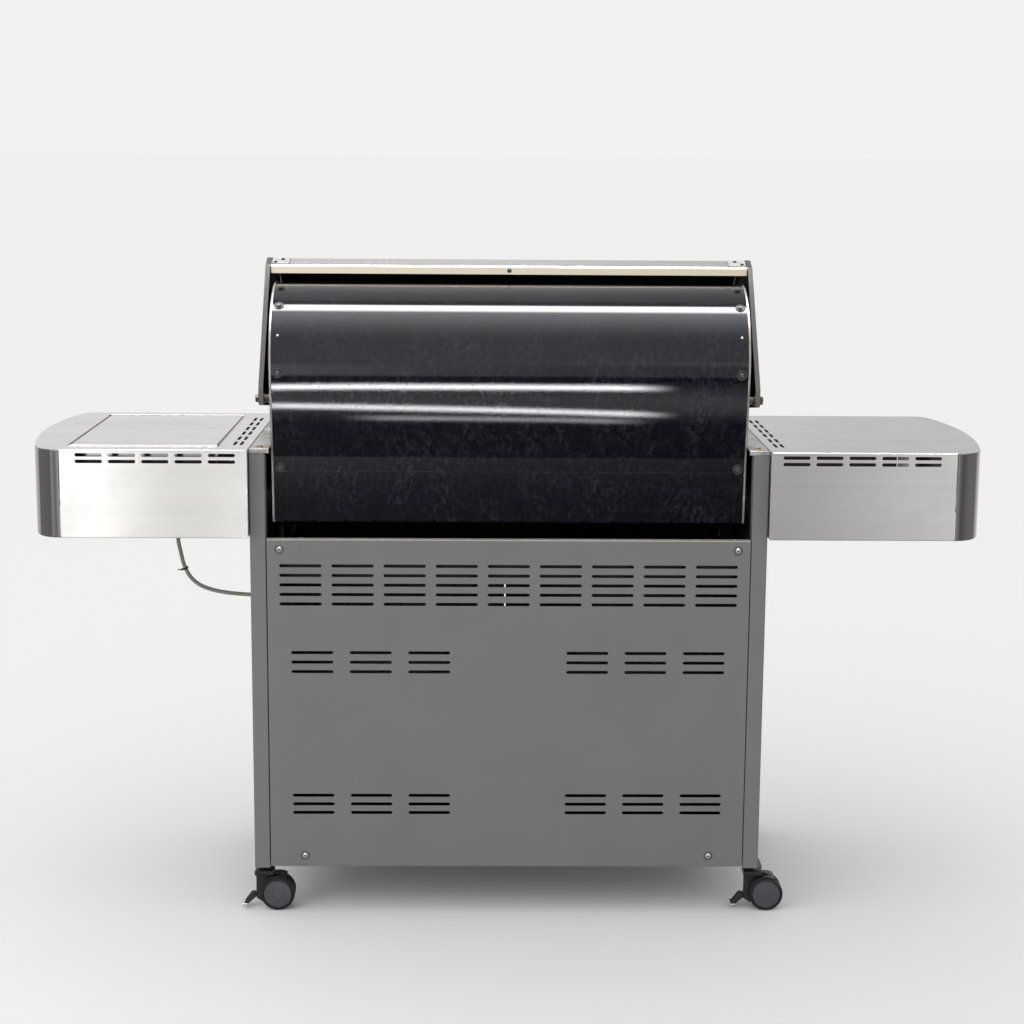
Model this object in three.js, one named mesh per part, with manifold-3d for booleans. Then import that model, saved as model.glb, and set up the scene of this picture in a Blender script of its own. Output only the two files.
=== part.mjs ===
// Gas barbecue grill on a wheeled cart: roll-top hood, five burners, side burner, two shelves.
// Millimetres. The front faces -Y, the rear +Y, +X is the right-hand side seen from the front.
// The origin is on the floor, under the middle of the whole grill.

import * as THREE from 'three';
import { mergeVertices } from 'three/addons/utils/BufferGeometryUtils.js';
import Module from 'manifold-3d';

const wasm = await Module();
wasm.setup();

// ---------------------------------------------------------------- driving dimensions

const REAR_Y = 288; // y of the cart's rear face; depths are measured forward from it
const GAP = 0.3; // clearance between pieces that touch on the real object
const SHEET = 1.5; // thickness of the folded sheet metal
const SIDES = [-1, 1]; // left and right

const CART = { half: 490, depth: 520, bottom: 92, top: 906, fold: 30, lip: 25, footLength: 62, foot: 3 };
const REAR_PANEL = { half: 458.5, bottom: 95, top: 743, flange: 14 };
const REAR_SLOT = { length: 80, height: 6 };
const SLOT_FIELD = { columns: 9, pitch: 98.8, top: 691.5, rows: 5, drop: 18.5 };
const SLOT_GROUP = { columns: [151.2, 262.7, 374.3], rows: 3 };
const SLOT_GROUP_ROWS = [{ top: 522.5, drop: 18.7 }, { top: 238.8, drop: 17.3 }];
const BOTTOM_SHELF = { half: 459, near: 16, far: 515, bottom: 96.5, rim: 24 };
const DOOR = { inner: 1.5, outer: 486, bottom: 98, top: 640, near: 522, far: 540 };
const DOOR_HANDLE = { x: 52, bottom: 380, top: 580, depth: 566, radius: 7, post: 30, postRadius: 5.5 };
const TRAY = { half: 440, near: 62, bottom: 655, top: 690, frontBottom: 643, frontTop: 742 };
const HAND_SLOT = { drop: 30, length: 150, height: 28 };
const RUNNER = { inner: 436, near: 320, far: 515, sheet: 2 }; // carries the grease tray
const PANEL = { half: 488, near: 522, far: 560, bottom: 745, top: 915 };
const COUNTER = 915; // height of the shelves and of the control panel's top

const FIREBOX = {
  half: 452.3, plate: 4, bottom: 766, front: 505, frontTop: 912, ledgeLip: 8.4, ledgeRear: 2,
};
const END_FRONT = { // front edge of the end plates, as (depth, height)
  crown: [250, 1203], crownPull: [330, 1175], slopePull: [395, 1060], slope: [425, 960],
  toePull: [435, 925], toe: [470, 912],
};
const GRATE_LEDGE = { rear: 84, front: 484, drop: 0.6 }; // folded ledges under the tamers and the grates
const HOPPER = { near: 66, low: 704, lowHalf: 240, lowNear: 190, lowFar: 370, wall: 2 };
const BACK = { lapHeight: 893, lapDepth: 47, bottomDepth: 58, kneeDepth: 23.7, kneeHeight: 1043.3 };
const CROWN = { depth: 172, height: 1066, radius: 150, start: 188.7, end: 77.7 };
const BACK_INSET = 3; // the rear sheets lie this far inside the end plates' edge
const PIVOT = { depth: 44, height: 1005, pin: 4.2, bore: 5, boss: 10, head: 8 };

const HOOD = { depth: 225, height: 948, radius: 310, bottom: 929, half: 463, sheet: 2 };
const HOOD_REAR = { depth: 196, flangeBottom: 1231, flangeTop: 1244, cornerDepth: 200, cornerHeight: 1248 };
const HOOD_CAP = { inner: 463.7, outer: 472.9, plate: 2, rim: 3, proud: 1.5 };
// Rear edge of the caps, as (depth, height).
const HOOD_CAP_REAR = [[50, 991], [36, 993], [31, 1000], [31, 1027], [150, 1190], [192, 1247]];
const HANDLE = { depth: 580, height: 1000, radius: 13, half: 385, post: 330, postFrom: 500, postRadius: 10 };
const THERMOMETER = { angle: 30, radius: 34, thickness: 13 };

const BURNERS = { count: 5, pitch: 175, height: 842, near: 76, far: 478, wide: 36, tall: 20, wall: 1.2 };
const NECK = { radius: 11, end: 516, hole: 13 };
const TAMER = { flat: 866.3, peak: 888, half: 56, near: 68, far: 498, sheet: 1.2 };
const DRIP = { rows: 4, pitch: 100, halfWide: 24, halfLong: 42 };
const GRATE = {
  count: 2, pitch: 448.5, half: 222.6, near: 68, far: 498, bottom: 896, top: 906, bar: 8,
  columns: 16, rows: 2,
};
const RACK = { half: 436, near: 95, far: 235, bottom: 1086, top: 1091, bar: 6, columns: 24, tab: 12 };
const MANIFOLD = { depth: 538, height: 820, radius: 9, half: 446, outlet: 470, inlet: -462, arm: 6 };
const VALVE = { half: 13, rear: 11, front: 13, top: 14, jet: 4, jetRear: 17, jetFront: 10 };
const KNOB = { radius: 27, near: 561, far: 596, grip: 9, stem: 3.5, bore: 4.1, stemEnd: 572, boreEnd: 575 };
const BUTTON = { x: 440, radius: 10, hole: 10.8, near: 553, far: 568 };

const SHELF = { inner: 490.5, seam: 840, near: -20, far: 520, bottom: 748 };
const SHELF_END = {
  rearTurn: [893, -20], rearEnd: [903, 75], bow: [943, 290], frontStart: [900, 485],
  frontTurn: [893, 520], frontEnd: [868, 520],
};
const LID = { near: 36, far: 474.5, inner: 554.5, outer: 830.5, lip: 10, top: 915.3, groove: 3 };
const APRON_SLOT = { columns: 5, centre: 661.5, pitch: 61.8, top: 905, drop: 12.3, length: 50.5, height: 6 };
const TOP_VENT = { columns: [509.8, 522.4], depths: [73, 141, 214, 280, 350, 419], half: 2.8, reach: 24 };
const BOWL = { floor: 860, flange: 7, hole: 20 };
const SIDE_BURNER = { x: 692.5, depth: 255, knobHeight: 832 };
// Profile of the side burner's head, as (radius, height).
const BURNER_HEAD = [[0, 0], [18, 0], [18, 31.5], [40, 34], [46, 40], [46, 46], [38, 50], [0, 50]];
const PAN_GRATE = { half: 105, top: 896, bar: 7, opening: 30 };
const SIDE_VALVE = {
  half: 14, near: 486, far: 514, stemEnd: 532, feedRise: 3, pipeDrop: 8, pipe: 5, elbow: 7,
};

const HOSE_RADIUS = 4;
const HOSE_HOLE = { depth: 245, height: 581, radius: 8 };
const HOSE_EXIT = { x: 662, depth: 245, height: 789.7 };

const CASTER = {
  x: 479, rear: 32, front: 488, trail: 31, radius: 33, half: 22, web: 6, gap: 7, axle: 6, bore: 7.5,
};
// The caster's web, about its stem.
const FORK = { front: 12, rear: 16, top: 78, shoulder: 70, hub: 24, chin: 12 };
const CROWN_BLOCK = { back: 24, front: 14, half: 15, rise: 35, top: 46, stem: 7 };
const PEDAL = { pivotX: 17, pivotZ: 27, pin: 2.5, bore: 3, reach: 36, inner: 3.6, outer: 9, treadHalf: 15 };

// ---------------------------------------------------------------- materials

function finish(color, roughness, metalness) {
  return new THREE.MeshStandardMaterial({ color, roughness, metalness });
}

const greyPaint = finish(0x77787a, 0.5, 0.3);
const stainless = finish(0xc9c7c2, 0.3, 0.9);
const darkSteel = finish(0x55524f, 0.35, 0.9);
const enamel = finish(0x14161c, 0.15, 0.2);
const aluminised = finish(0xa9a49c, 0.45, 0.8);
const castIron = finish(0x2b2a29, 0.75, 0.4);
const chrome = finish(0xd8d8d8, 0.15, 1.0);
const blackPlastic = finish(0x1b1b1c, 0.5, 0.0);
const brass = finish(0xb08d4a, 0.35, 0.9);
const hoseSteel = finish(0xa3a3a0, 0.4, 0.7);
const capGrey = finish(0x6a6660, 0.5, 0.5);

// ---------------------------------------------------------------- solids

const toY = (depth) => REAR_Y - depth;

function solid(geometry) {
  geometry.deleteAttribute('normal');
  geometry.deleteAttribute('uv');
  const merged = mergeVertices(geometry, 1e-4);
  return new wasm.Manifold(new wasm.Mesh({
    numProp: 3,
    vertProperties: new Float32Array(merged.attributes.position.array),
    triVerts: new Uint32Array(merged.index.array),
  }));
}

function meshOf(name, body, material) {
  const out = body.getMesh();
  const geometry = new THREE.BufferGeometry();
  geometry.setAttribute('position', new THREE.BufferAttribute(new Float32Array(out.vertProperties), 3));
  geometry.setIndex(new THREE.BufferAttribute(new Uint32Array(out.triVerts), 1));
  geometry.computeVertexNormals();
  const mesh = new THREE.Mesh(geometry, material);
  mesh.name = name;
  return mesh;
}

const join = (...bodies) => bodies.reduce((whole, body) => whole.add(body));
const cut = (body, ...tools) => tools.reduce((rest, tool) => rest.subtract(tool), body);

// A box from x0 to x1, from depth d0 to d1 (forward of the rear face) and from z0 to z1.
function box(x0, x1, d0, d1, z0, z1) {
  const geometry = new THREE.BoxGeometry(Math.abs(x1 - x0), Math.abs(d1 - d0), Math.abs(z1 - z0));
  geometry.translate((x0 + x1) / 2, toY((d0 + d1) / 2), (z0 + z1) / 2);
  return solid(geometry);
}

function extrude(shape, depth, xAxis, yAxis, zAxis, origin, curveSegments = 6) {
  const geometry = new THREE.ExtrudeGeometry(shape, { depth, bevelEnabled: false, curveSegments });
  const matrix = new THREE.Matrix4().makeBasis(xAxis, yAxis, zAxis);
  matrix.setPosition(origin);
  geometry.applyMatrix4(matrix);
  return solid(geometry);
}

const vec = (x, y, z) => new THREE.Vector3(x, y, z);

// Outline drawn in (y, z), extruded along x from x0 to x1.
const alongX = (shape, x0, x1) => extrude(
  shape, x1 - x0, vec(0, 1, 0), vec(0, 0, 1), vec(1, 0, 0), vec(x0, 0, 0));

// Outline drawn in (x, z), extruded forward from depth d0 to d1.
const alongDepth = (shape, d0, d1) => extrude(
  shape, d1 - d0, vec(1, 0, 0), vec(0, 0, 1), vec(0, -1, 0), vec(0, toY(d0), 0));

// Outline drawn in (x, y), extruded up from z0 to z1.
const alongZ = (shape, z0, z1) => extrude(
  shape, z1 - z0, vec(1, 0, 0), vec(0, 1, 0), vec(0, 0, 1), vec(0, 0, z0));

function cylinder(radius, from, to, sides = 14) {
  const direction = to.clone().sub(from);
  const geometry = new THREE.CylinderGeometry(radius, radius, direction.length(), sides);
  const turn = new THREE.Quaternion().setFromUnitVectors(vec(0, 1, 0), direction.clone().normalize());
  geometry.applyQuaternion(turn);
  geometry.translate(...from.clone().add(to).multiplyScalar(0.5).toArray());
  return solid(geometry);
}

// A turned shape: profile points [radius, distance along the axis], both ends on the axis.
function turned(profile, origin, axis, sides = 20) {
  const points = profile.map(([r, h]) => new THREE.Vector2(r, h));
  const geometry = new THREE.LatheGeometry(points, sides);
  geometry.applyQuaternion(new THREE.Quaternion().setFromUnitVectors(vec(0, 1, 0), axis));
  geometry.translate(...origin.toArray());
  const body = solid(geometry);
  return body;
}

const ordered = (...ends) => ends.sort((a, b) => a - b);

const polygon = (points) => new THREE.Shape(points.map(([x, y]) => new THREE.Vector2(x, y)));
const sideOutline = (points) => polygon(points.map(([depth, z]) => [toY(depth), z]));

// Moves an open line of points sideways by a distance, to its left as it is walked.
function offset(points, distance) {
  const unit = ([ax, ay], [bx, by]) => {
    const length = Math.hypot(bx - ax, by - ay);
    return [(bx - ax) / length, (by - ay) / length];
  };
  return points.map((point, i) => {
    const before = unit(points[Math.max(i - 1, 0)], points[Math.max(i, 1)]);
    const after = unit(points[Math.min(i, points.length - 2)], points[Math.min(i + 1, points.length - 1)]);
    const normal = [-(before[1] + after[1]) / 2, (before[0] + after[0]) / 2];
    const size = Math.hypot(...normal);
    const reach = distance / size ** 2;
    return [point[0] + normal[0] * reach, point[1] + normal[1] * reach];
  });
}

// A bent sheet: an open line of points, given a thickness to its left.
const sheetLoop = (points, thickness) => [...points, ...offset(points, thickness).reverse()];

function arc(centreX, centreY, radius, startDegrees, endDegrees, steps) {
  return Array.from({ length: steps + 1 }, (_, i) => {
    const angle = THREE.MathUtils.degToRad(startDegrees + ((endDegrees - startDegrees) * i) / steps);
    return [centreX + radius * Math.cos(angle), centreY + radius * Math.sin(angle)];
  });
}

// A slot with round ends, centred on (x, z), its long side along the first axis.
function slotShape(x, z, length, height) {
  const r = height / 2;
  const reach = length / 2 - r;
  return polygon([...arc(x + reach, z, r, -90, 90, 3), ...arc(x - reach, z, r, 90, 270, 3)]);
}

// An open-topped pan, or one open on another side: an outer box less an inner one.
const pan = (outer, inner) => cut(box(...outer), box(...inner));

const spread = (count, pitch) => Array.from({ length: count }, (_, i) => (i - (count - 1) / 2) * pitch);

const group = new THREE.Group();
const place = (name, body, material) => group.add(meshOf(name, body, material));
const sideName = (name, side) => `${name}_${side < 0 ? 'left' : 'right'}`;

// ---------------------------------------------------------------- cart

// Each side is one sheet folded into posts at the rear and the front, with foot plates for casters
// and a ledge for the grease tray.
function cartSide(side) {
  const outer = CART.half;
  const inner = CART.half - CART.fold;
  const far = CART.depth;
  const line = [
    [inner, CART.lip], [inner, 0], [outer, 0], [outer, far], [inner, far], [inner, far - CART.lip],
  ].map(([x, depth]) => [side * x, toY(depth)]);
  const loop = sheetLoop(line, -side * SHEET);
  const skin = alongZ(polygon(loop), CART.bottom, CART.top);
  const foot = CART.bottom + CART.foot;
  const feet = [0.5, far - CART.footLength - 0.5].map((depth) => box(
    side * (inner + 0.5), side * (outer - 0.5), depth, depth + CART.footLength, CART.bottom, foot));
  const panelNotch = box(side * (inner - 1), side * (outer - SHEET), far - CART.lip - 1, far + 1,
    PANEL.bottom, CART.top + 1);
  const runner = box(side * RUNNER.inner, side * (outer - 0.5), RUNNER.near, RUNNER.far,
    TRAY.bottom - GAP - RUNNER.sheet, TRAY.bottom - GAP);
  let body = cut(join(skin, runner, ...feet), panelNotch);
  if (side > 0) {
    const y = toY(HOSE_HOLE.depth);
    body = cut(body, cylinder(HOSE_HOLE.radius, vec(outer - 10, y, HOSE_HOLE.height),
      vec(outer + 10, y, HOSE_HOLE.height)));
  }
  place(sideName('cart_side', side), body, greyPaint);
}

// Ventilation slots of the rear panel: a full field on top and groups of three below.
function rearSlots() {
  const centres = [];
  const field = (columns, topRow, rows, drop) => {
    for (const x of columns) {
      for (let row = 0; row < rows; row += 1) centres.push([x, topRow - row * drop]);
    }
  };
  const { columns, rows } = SLOT_GROUP;
  const groupColumns = [...columns.map((x) => -x), ...columns];
  field(spread(SLOT_FIELD.columns, SLOT_FIELD.pitch), SLOT_FIELD.top, SLOT_FIELD.rows, SLOT_FIELD.drop);
  SLOT_GROUP_ROWS.forEach(({ top, drop }) => field(groupColumns, top, rows, drop));
  return centres;
}

function rearPanel() {
  const { half, bottom, top, flange } = REAR_PANEL;
  const face = polygon([[-half, bottom], [half, bottom], [half, top], [-half, top]]);
  face.holes = rearSlots().map(([x, z]) => slotShape(x, z, REAR_SLOT.length, REAR_SLOT.height));
  const sheet = alongDepth(face, 0, SHEET);
  const topFlange = box(-half, half, 0, flange, top - SHEET, top);
  const bottomFlange = box(-half, half, 0, flange, bottom, bottom + SHEET);
  place('rear_panel', join(sheet, topFlange, bottomFlange), greyPaint);
}

function bottomShelf() {
  const { half, near, far, bottom, rim } = BOTTOM_SHELF;
  place('bottom_shelf', pan(
    [-half, half, near, far, bottom, bottom + rim],
    [SHEET - half, half - SHEET, near + SHEET, far - SHEET, bottom + SHEET, bottom + rim + 1]), greyPaint);
}

function door(side) {
  const { inner, outer, bottom, top, near, far } = DOOR;
  const x0 = Math.min(side * inner, side * outer);
  const x1 = Math.max(side * inner, side * outer);
  place(sideName('door', side), pan(
    [x0, x1, near, far, bottom, top],
    [x0 + SHEET, x1 - SHEET, near - 1, far - SHEET, bottom + SHEET, top - SHEET]), stainless);
}

function doorHandle(side) {
  const { x, bottom, top, depth, radius, post, postRadius } = DOOR_HANDLE;
  const bar = cylinder(radius, vec(side * x, toY(depth), bottom), vec(side * x, toY(depth), top));
  const posts = [bottom + post, top - post].map((z) => cylinder(
    postRadius, vec(side * x, toY(DOOR.far + GAP), z), vec(side * x, toY(depth), z)));
  place(sideName('door_handle', side), join(bar, ...posts), chrome);
}

// The grease tray slides out under the control panel, behind a full-width front with a hand slot.
function greaseTray() {
  const { half, near, bottom, top } = TRAY;
  const far = DOOR.near - GAP;
  place('grease_tray', pan(
    [-half, half, near, far, bottom, top],
    [SHEET - half, half - SHEET, near + SHEET, far - SHEET, bottom + SHEET, top + 1]), stainless);
}

function drawerFront() {
  const { frontBottom, frontTop } = TRAY;
  const half = DOOR.outer;
  const front = pan(
    [-half, half, DOOR.near, DOOR.far, frontBottom, frontTop],
    [SHEET - half, half - SHEET, DOOR.near + SHEET, DOOR.far - SHEET, frontBottom - 1, frontTop - SHEET]);
  const hand = slotShape(0, frontTop - HAND_SLOT.drop, HAND_SLOT.length, HAND_SLOT.height);
  place('drawer_front', cut(front, alongDepth(hand, DOOR.near - 5, DOOR.far + 5)), stainless);
}

// ---------------------------------------------------------------- firebox

// The rear edge of the firebox from its foot to the crown, as (depth, height).
function rearProfile(inset, fromHeight = FIREBOX.bottom) {
  const slope = (BACK.bottomDepth - BACK.lapDepth) / (BACK.lapHeight - FIREBOX.bottom);
  const start = [BACK.lapDepth + slope * (BACK.lapHeight - fromHeight), fromHeight];
  const line = [start, [BACK.kneeDepth, BACK.kneeHeight]];
  if (fromHeight < BACK.lapHeight) line.splice(1, 0, [BACK.lapDepth, BACK.lapHeight]);
  const crown = arc(CROWN.depth, CROWN.height, CROWN.radius, CROWN.start, CROWN.end, 12);
  return offset([...line, ...crown.slice(1)], -inset);
}

// End plate: the whole side of the firebox, its ledge on the cart and the hood's pivot.
function fireboxEnd(side) {
  const outer = FIREBOX.half;
  const inner = outer - FIREBOX.plate;
  const front = new THREE.Path();
  const at = ([depth, z]) => [toY(depth), z];
  front.moveTo(...at(END_FRONT.crown));
  front.bezierCurveTo(...at(END_FRONT.crownPull), ...at(END_FRONT.slopePull), ...at(END_FRONT.slope));
  front.quadraticCurveTo(...at(END_FRONT.toePull), ...at(END_FRONT.toe));
  const outline = [...rearProfile(0).map(([d, z]) => [toY(d), z]),
    ...front.getPoints(5).map((p) => [p.x, p.y]),
    at([FIREBOX.front, FIREBOX.frontTop]), at([FIREBOX.front, FIREBOX.bottom])];
  const plate = alongX(polygon(outline), ...ordered(side * inner, side * outer));
  const ledgeOuter = SHELF.inner - 0.8;
  const rear = FIREBOX.ledgeRear;
  const ledge = box(side * (outer - 1), side * ledgeOuter, rear, PANEL.near - 0.5, COUNTER - SHEET, COUNTER);
  const lipBottom = COUNTER - FIREBOX.ledgeLip;
  const rearLip = box(side * outer, side * ledgeOuter, rear, rear + SHEET, lipBottom, COUNTER);
  const sideLip = box(
    side * (ledgeOuter - SHEET), side * ledgeOuter, rear, PANEL.near - 0.5, lipBottom, COUNTER);
  const pivotY = toY(PIVOT.depth);
  const point = (x) => vec(side * x, pivotY, PIVOT.height);
  const spacer = cylinder(PIVOT.boss, point(inner + 1), point(HOOD_CAP.inner - GAP));
  const pin = cylinder(PIVOT.pin, point(inner + 1), point(HOOD_CAP.outer + 3));
  const head = cylinder(PIVOT.head, point(HOOD_CAP.outer + GAP), point(HOOD_CAP.outer + 6), 6);
  place(sideName('firebox_end', side), join(plate, ledge, rearLip, sideLip, spacer, pin, head), aluminised);
}

const INNER_HALF = FIREBOX.half - FIREBOX.plate - GAP;

// The two ledges, one under the flame tamers and one under the grates, from depth d0 to d1.
const grateLedges = (d0, d1) => [TAMER.flat, GRATE.bottom].map((z) => box(
  -INNER_HALF, INNER_HALF, d0, d1, z - GRATE_LEDGE.drop - SHEET, z - GRATE_LEDGE.drop));

function backPanels() {
  const upper = rearProfile(BACK_INSET, BACK.lapHeight);
  place('back_panel_upper', alongX(sideOutline(sheetLoop(upper, -SHEET)), -INNER_HALF, INNER_HALF), enamel);
  const inset = BACK_INSET + SHEET + GAP;
  const lapTop = BACK.lapHeight + 8;
  const slope = (BACK.bottomDepth - BACK.lapDepth) / (BACK.lapHeight - FIREBOX.bottom);
  const lower = [[BACK.bottomDepth + inset, FIREBOX.bottom],
    [BACK.lapDepth + inset, BACK.lapHeight], [BACK.lapDepth + inset - slope * 3, lapTop]];
  const sheet = alongX(sideOutline(sheetLoop(lower, -SHEET)), -INNER_HALF, INNER_HALF);
  place('back_panel_lower', join(sheet, ...grateLedges(BACK.lapDepth + inset + 1, GRATE_LEDGE.rear)), enamel);
}

// Front wall of the firebox: a hole for each burner, ledges for the grates, and a top flange.
function fireboxFront() {
  const near = FIREBOX.front - 2;
  const top = COUNTER - SHEET - GAP;
  const wall = box(-INNER_HALF, INNER_HALF, near, FIREBOX.front, FIREBOX.bottom, top);
  const flange = box(-INNER_HALF, INNER_HALF, near, PANEL.near + 14, top - 2, top);
  const holes = spread(BURNERS.count, BURNERS.pitch).map((x) => cylinder(
    NECK.hole, vec(x, toY(near - 3), BURNERS.height), vec(x, toY(FIREBOX.front + 3), BURNERS.height)));
  const ledges = grateLedges(GRATE_LEDGE.front, near + 1);
  place('firebox_front', cut(join(wall, flange, ...ledges), ...holes), enamel);
}

// A four-sided funnel wall, as the difference of two tapered blocks.
function taperedBlock(halfTop, nearTop, farTop, top, halfLow, nearLow, farLow, low) {
  const corners = [
    [-halfLow, nearLow, low], [halfLow, nearLow, low], [halfLow, farLow, low], [-halfLow, farLow, low],
    [-halfTop, nearTop, top], [halfTop, nearTop, top], [halfTop, farTop, top], [-halfTop, farTop, top],
  ];
  const faces = [[0, 1, 2], [0, 2, 3], [4, 6, 5], [4, 7, 6], [0, 5, 1], [0, 4, 5], [1, 6, 2], [1, 5, 6],
    [2, 7, 3], [2, 6, 7], [3, 4, 0], [3, 7, 4]];
  const geometry = new THREE.BufferGeometry();
  const positions = corners.flatMap(([x, depth, z]) => [x, toY(depth), z]);
  geometry.setAttribute('position', new THREE.Float32BufferAttribute(positions, 3));
  geometry.setIndex(faces.flat());
  return solid(geometry);
}

// The hopper leads fat down to the tray.
function hopper() {
  const { near, low, lowHalf, lowNear, lowFar, wall } = HOPPER;
  const far = FIREBOX.front;
  const top = FIREBOX.bottom - GAP;
  const outside = taperedBlock(INNER_HALF, near, far, top, lowHalf, lowNear, lowFar, low);
  const inside = taperedBlock(INNER_HALF - wall, near + wall, far - wall, top + 0.5,
    lowHalf - wall, lowNear + wall, lowFar - wall, low - 0.5);
  place('hopper', cut(outside, inside), aluminised);
}

function burner(x, index) {
  const { height, near, far, wide, tall, wall } = BURNERS;
  const y = (depth) => toY(depth);
  const neckFrom = far - 3;
  const outside = join(
    box(x - wide / 2, x + wide / 2, near, far, height - tall / 2, height + tall / 2),
    cylinder(NECK.radius - 1.5, vec(x, y(neckFrom), height), vec(x, y(NECK.end), height)));
  const inside = join(
    box(x - wide / 2 + wall, x + wide / 2 - wall, near + wall, far - wall,
      height - tall / 2 + wall, height + tall / 2 - wall),
    cylinder(NECK.radius - 1.5 - wall, vec(x, y(neckFrom - 2), height), vec(x, y(NECK.end + 2), height)));
  place(`burner_${index + 1}`, cut(outside, inside), stainless);
}

// One tent over each burner, joined by strips with drip slots between them.
function flameTamers() {
  const { flat, peak, half, near, far, sheet } = TAMER;
  const tents = spread(BURNERS.count, BURNERS.pitch).flatMap((x) => [
    [x - half, flat], [x, peak], [x + half, flat]]);
  const line = [[-INNER_HALF + 1, flat], ...tents, [INNER_HALF - 1, flat]];
  const body = alongDepth(polygon(sheetLoop(line, sheet)), near, far);
  const middle = (near + far) / 2;
  const { rows, pitch, halfWide, halfLong } = DRIP;
  const drips = spread(BURNERS.count - 1, BURNERS.pitch).flatMap((x) => spread(rows, pitch).map((d) => box(
    x - halfWide, x + halfWide, middle + d - halfLong, middle + d + halfLong, flat - 3, flat + 4)));
  place('flame_tamers', cut(body, ...drips), stainless);
}

// A flat grid of bars: a plate with rows of long openings.
function grid(x0, x1, d0, d1, z0, z1, bar, columns, rows) {
  const wide = (x1 - x0 - bar) / columns;
  const deep = (d1 - d0 - bar) / rows;
  let body = box(x0, x1, d0, d1, z0, z1);
  for (let i = 0; i < columns; i += 1) {
    for (let j = 0; j < rows; j += 1) {
      body = cut(body, box(x0 + bar + i * wide, x0 + (i + 1) * wide,
        d0 + bar + j * deep, d0 + (j + 1) * deep, z0 - 1, z1 + 1));
    }
  }
  return body;
}

function cookingGrates() {
  const { count, pitch, half, near, far, bottom, top, bar, columns, rows } = GRATE;
  spread(count, pitch).forEach((x, index) => place(`cooking_grate_${index + 1}`, grid(
    x - half, x + half, near, far, bottom, top, bar, columns, rows), castIron));
}

function warmingRack() {
  const { half, near, far, bottom, top, bar, columns, tab } = RACK;
  const tabs = SIDES.flatMap((side) => [near, far - tab].map((depth) => box(
    side * (half - 2), side * INNER_HALF, depth, depth + tab, bottom, top)));
  place('warming_rack', join(grid(-half, half, near, far, bottom, top, bar, columns, 1), ...tabs), chrome);
}

// ---------------------------------------------------------------- gas supply and controls

function gasManifold() {
  const { depth, height, radius, half, outlet, inlet, arm: armRadius } = MANIFOLD;
  const valve = VALVE;
  const y = toY(depth);
  const pipe = cylinder(radius, vec(-half, y, height), vec(half, y, height));
  const parts = spread(BURNERS.count, BURNERS.pitch).flatMap((x) => [
    box(x - valve.half, x + valve.half, depth - valve.rear, depth + valve.front,
      height, BURNERS.height + valve.top),
    cylinder(valve.jet, vec(x, toY(depth - valve.jetRear), BURNERS.height),
      vec(x, toY(depth - valve.jetFront), BURNERS.height), 8),
    cylinder(KNOB.stem, vec(x, toY(depth + valve.front - 1), BURNERS.height),
      vec(x, toY(KNOB.stemEnd), BURNERS.height), 8),
  ]);
  const arm = cylinder(armRadius, vec(half - 2, y, height), vec(outlet + 3, y, height), 12);
  const drop = cylinder(6.5, vec(outlet, y, height + 5), vec(outlet, y, height - 22), 12);
  const inletArm = cylinder(armRadius, vec(2 - half, y, height), vec(inlet - 3, y, height), 12);
  const inletDrop = cylinder(8, vec(inlet, y, height + 6), vec(inlet, y, height - 30), 6);
  place('gas_manifold', join(pipe, ...parts, arm, drop, inletArm, inletDrop), brass);
}

function controlPanel() {
  const { half, near, far, bottom, top } = PANEL;
  const shell = pan([-half, half, near, far, bottom, top],
    [SHEET - half, half - SHEET, near - 1, far - SHEET, bottom + SHEET, top - SHEET]);
  const hole = (x, radius) => cylinder(
    radius, vec(x, toY(far - 5), BURNERS.height), vec(x, toY(far + 5), BURNERS.height));
  const holes = spread(BURNERS.count, BURNERS.pitch).map((x) => hole(x, 7));
  place('control_panel', cut(shell, ...holes, hole(BUTTON.x, BUTTON.hole)), stainless);
}

// A round knob with a bar grip across its face and a blind bore for the valve's stem.
function knob(name, x, rear, z) {
  const { radius, near, far, grip, bore, boreEnd } = KNOB;
  const long = far - near;
  const skirt = turned([[0, 0], [radius, 0], [radius, 5], [radius - 5, 14], [0, 14]],
    vec(x, toY(rear), z), vec(0, -1, 0), 24);
  const bar = alongDepth(slotShape(x, z, 2 * (radius - 5), grip * 2), rear + 12, rear + long);
  const shaft = cylinder(bore, vec(x, toY(rear - 2), z), vec(x, toY(rear + boreEnd - near), z));
  place(name, cut(join(skirt, bar), shaft), blackPlastic);
}

function igniterButton() {
  const { x, radius, near, far } = BUTTON;
  place('igniter_button', turned([[0, 0], [radius, 0], [radius, far - near - 2], [radius - 2, far - near],
    [0, far - near]], vec(x, toY(near), BURNERS.height), vec(0, -1, 0)), blackPlastic);
}

// ---------------------------------------------------------------- side shelves

// The rounded outer end of a shelf, as (x, depth) from the rear seam to the front seam.
function shelfEnd(steps) {
  const path = new THREE.Path();
  path.moveTo(SHELF.seam, SHELF.near);
  path.quadraticCurveTo(...SHELF_END.rearTurn, ...SHELF_END.rearEnd);
  path.quadraticCurveTo(...SHELF_END.bow, ...SHELF_END.frontStart);
  path.quadraticCurveTo(...SHELF_END.frontTurn, ...SHELF_END.frontEnd);
  const points = path.getPoints(steps).map((p) => [p.x, p.y]);
  return [...points, [SHELF.seam, SHELF.far]];
}

function apronSlots(side, faceDepth) {
  const { columns, centre, pitch, top, drop, length, height } = APRON_SLOT;
  return spread(columns, pitch).flatMap((x) => [top, top - drop].map((z) => alongDepth(
    slotShape(side * (centre + x), z, length, height), faceDepth - 5, faceDepth + 5)));
}

function topVents(side) {
  const { columns, depths, half, reach } = TOP_VENT;
  return columns.flatMap((x) => depths.map((depth) => box(
    side * (x - half), side * (x + half), depth - reach, depth + reach, COUNTER - 5, COUNTER + 5)));
}

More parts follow.
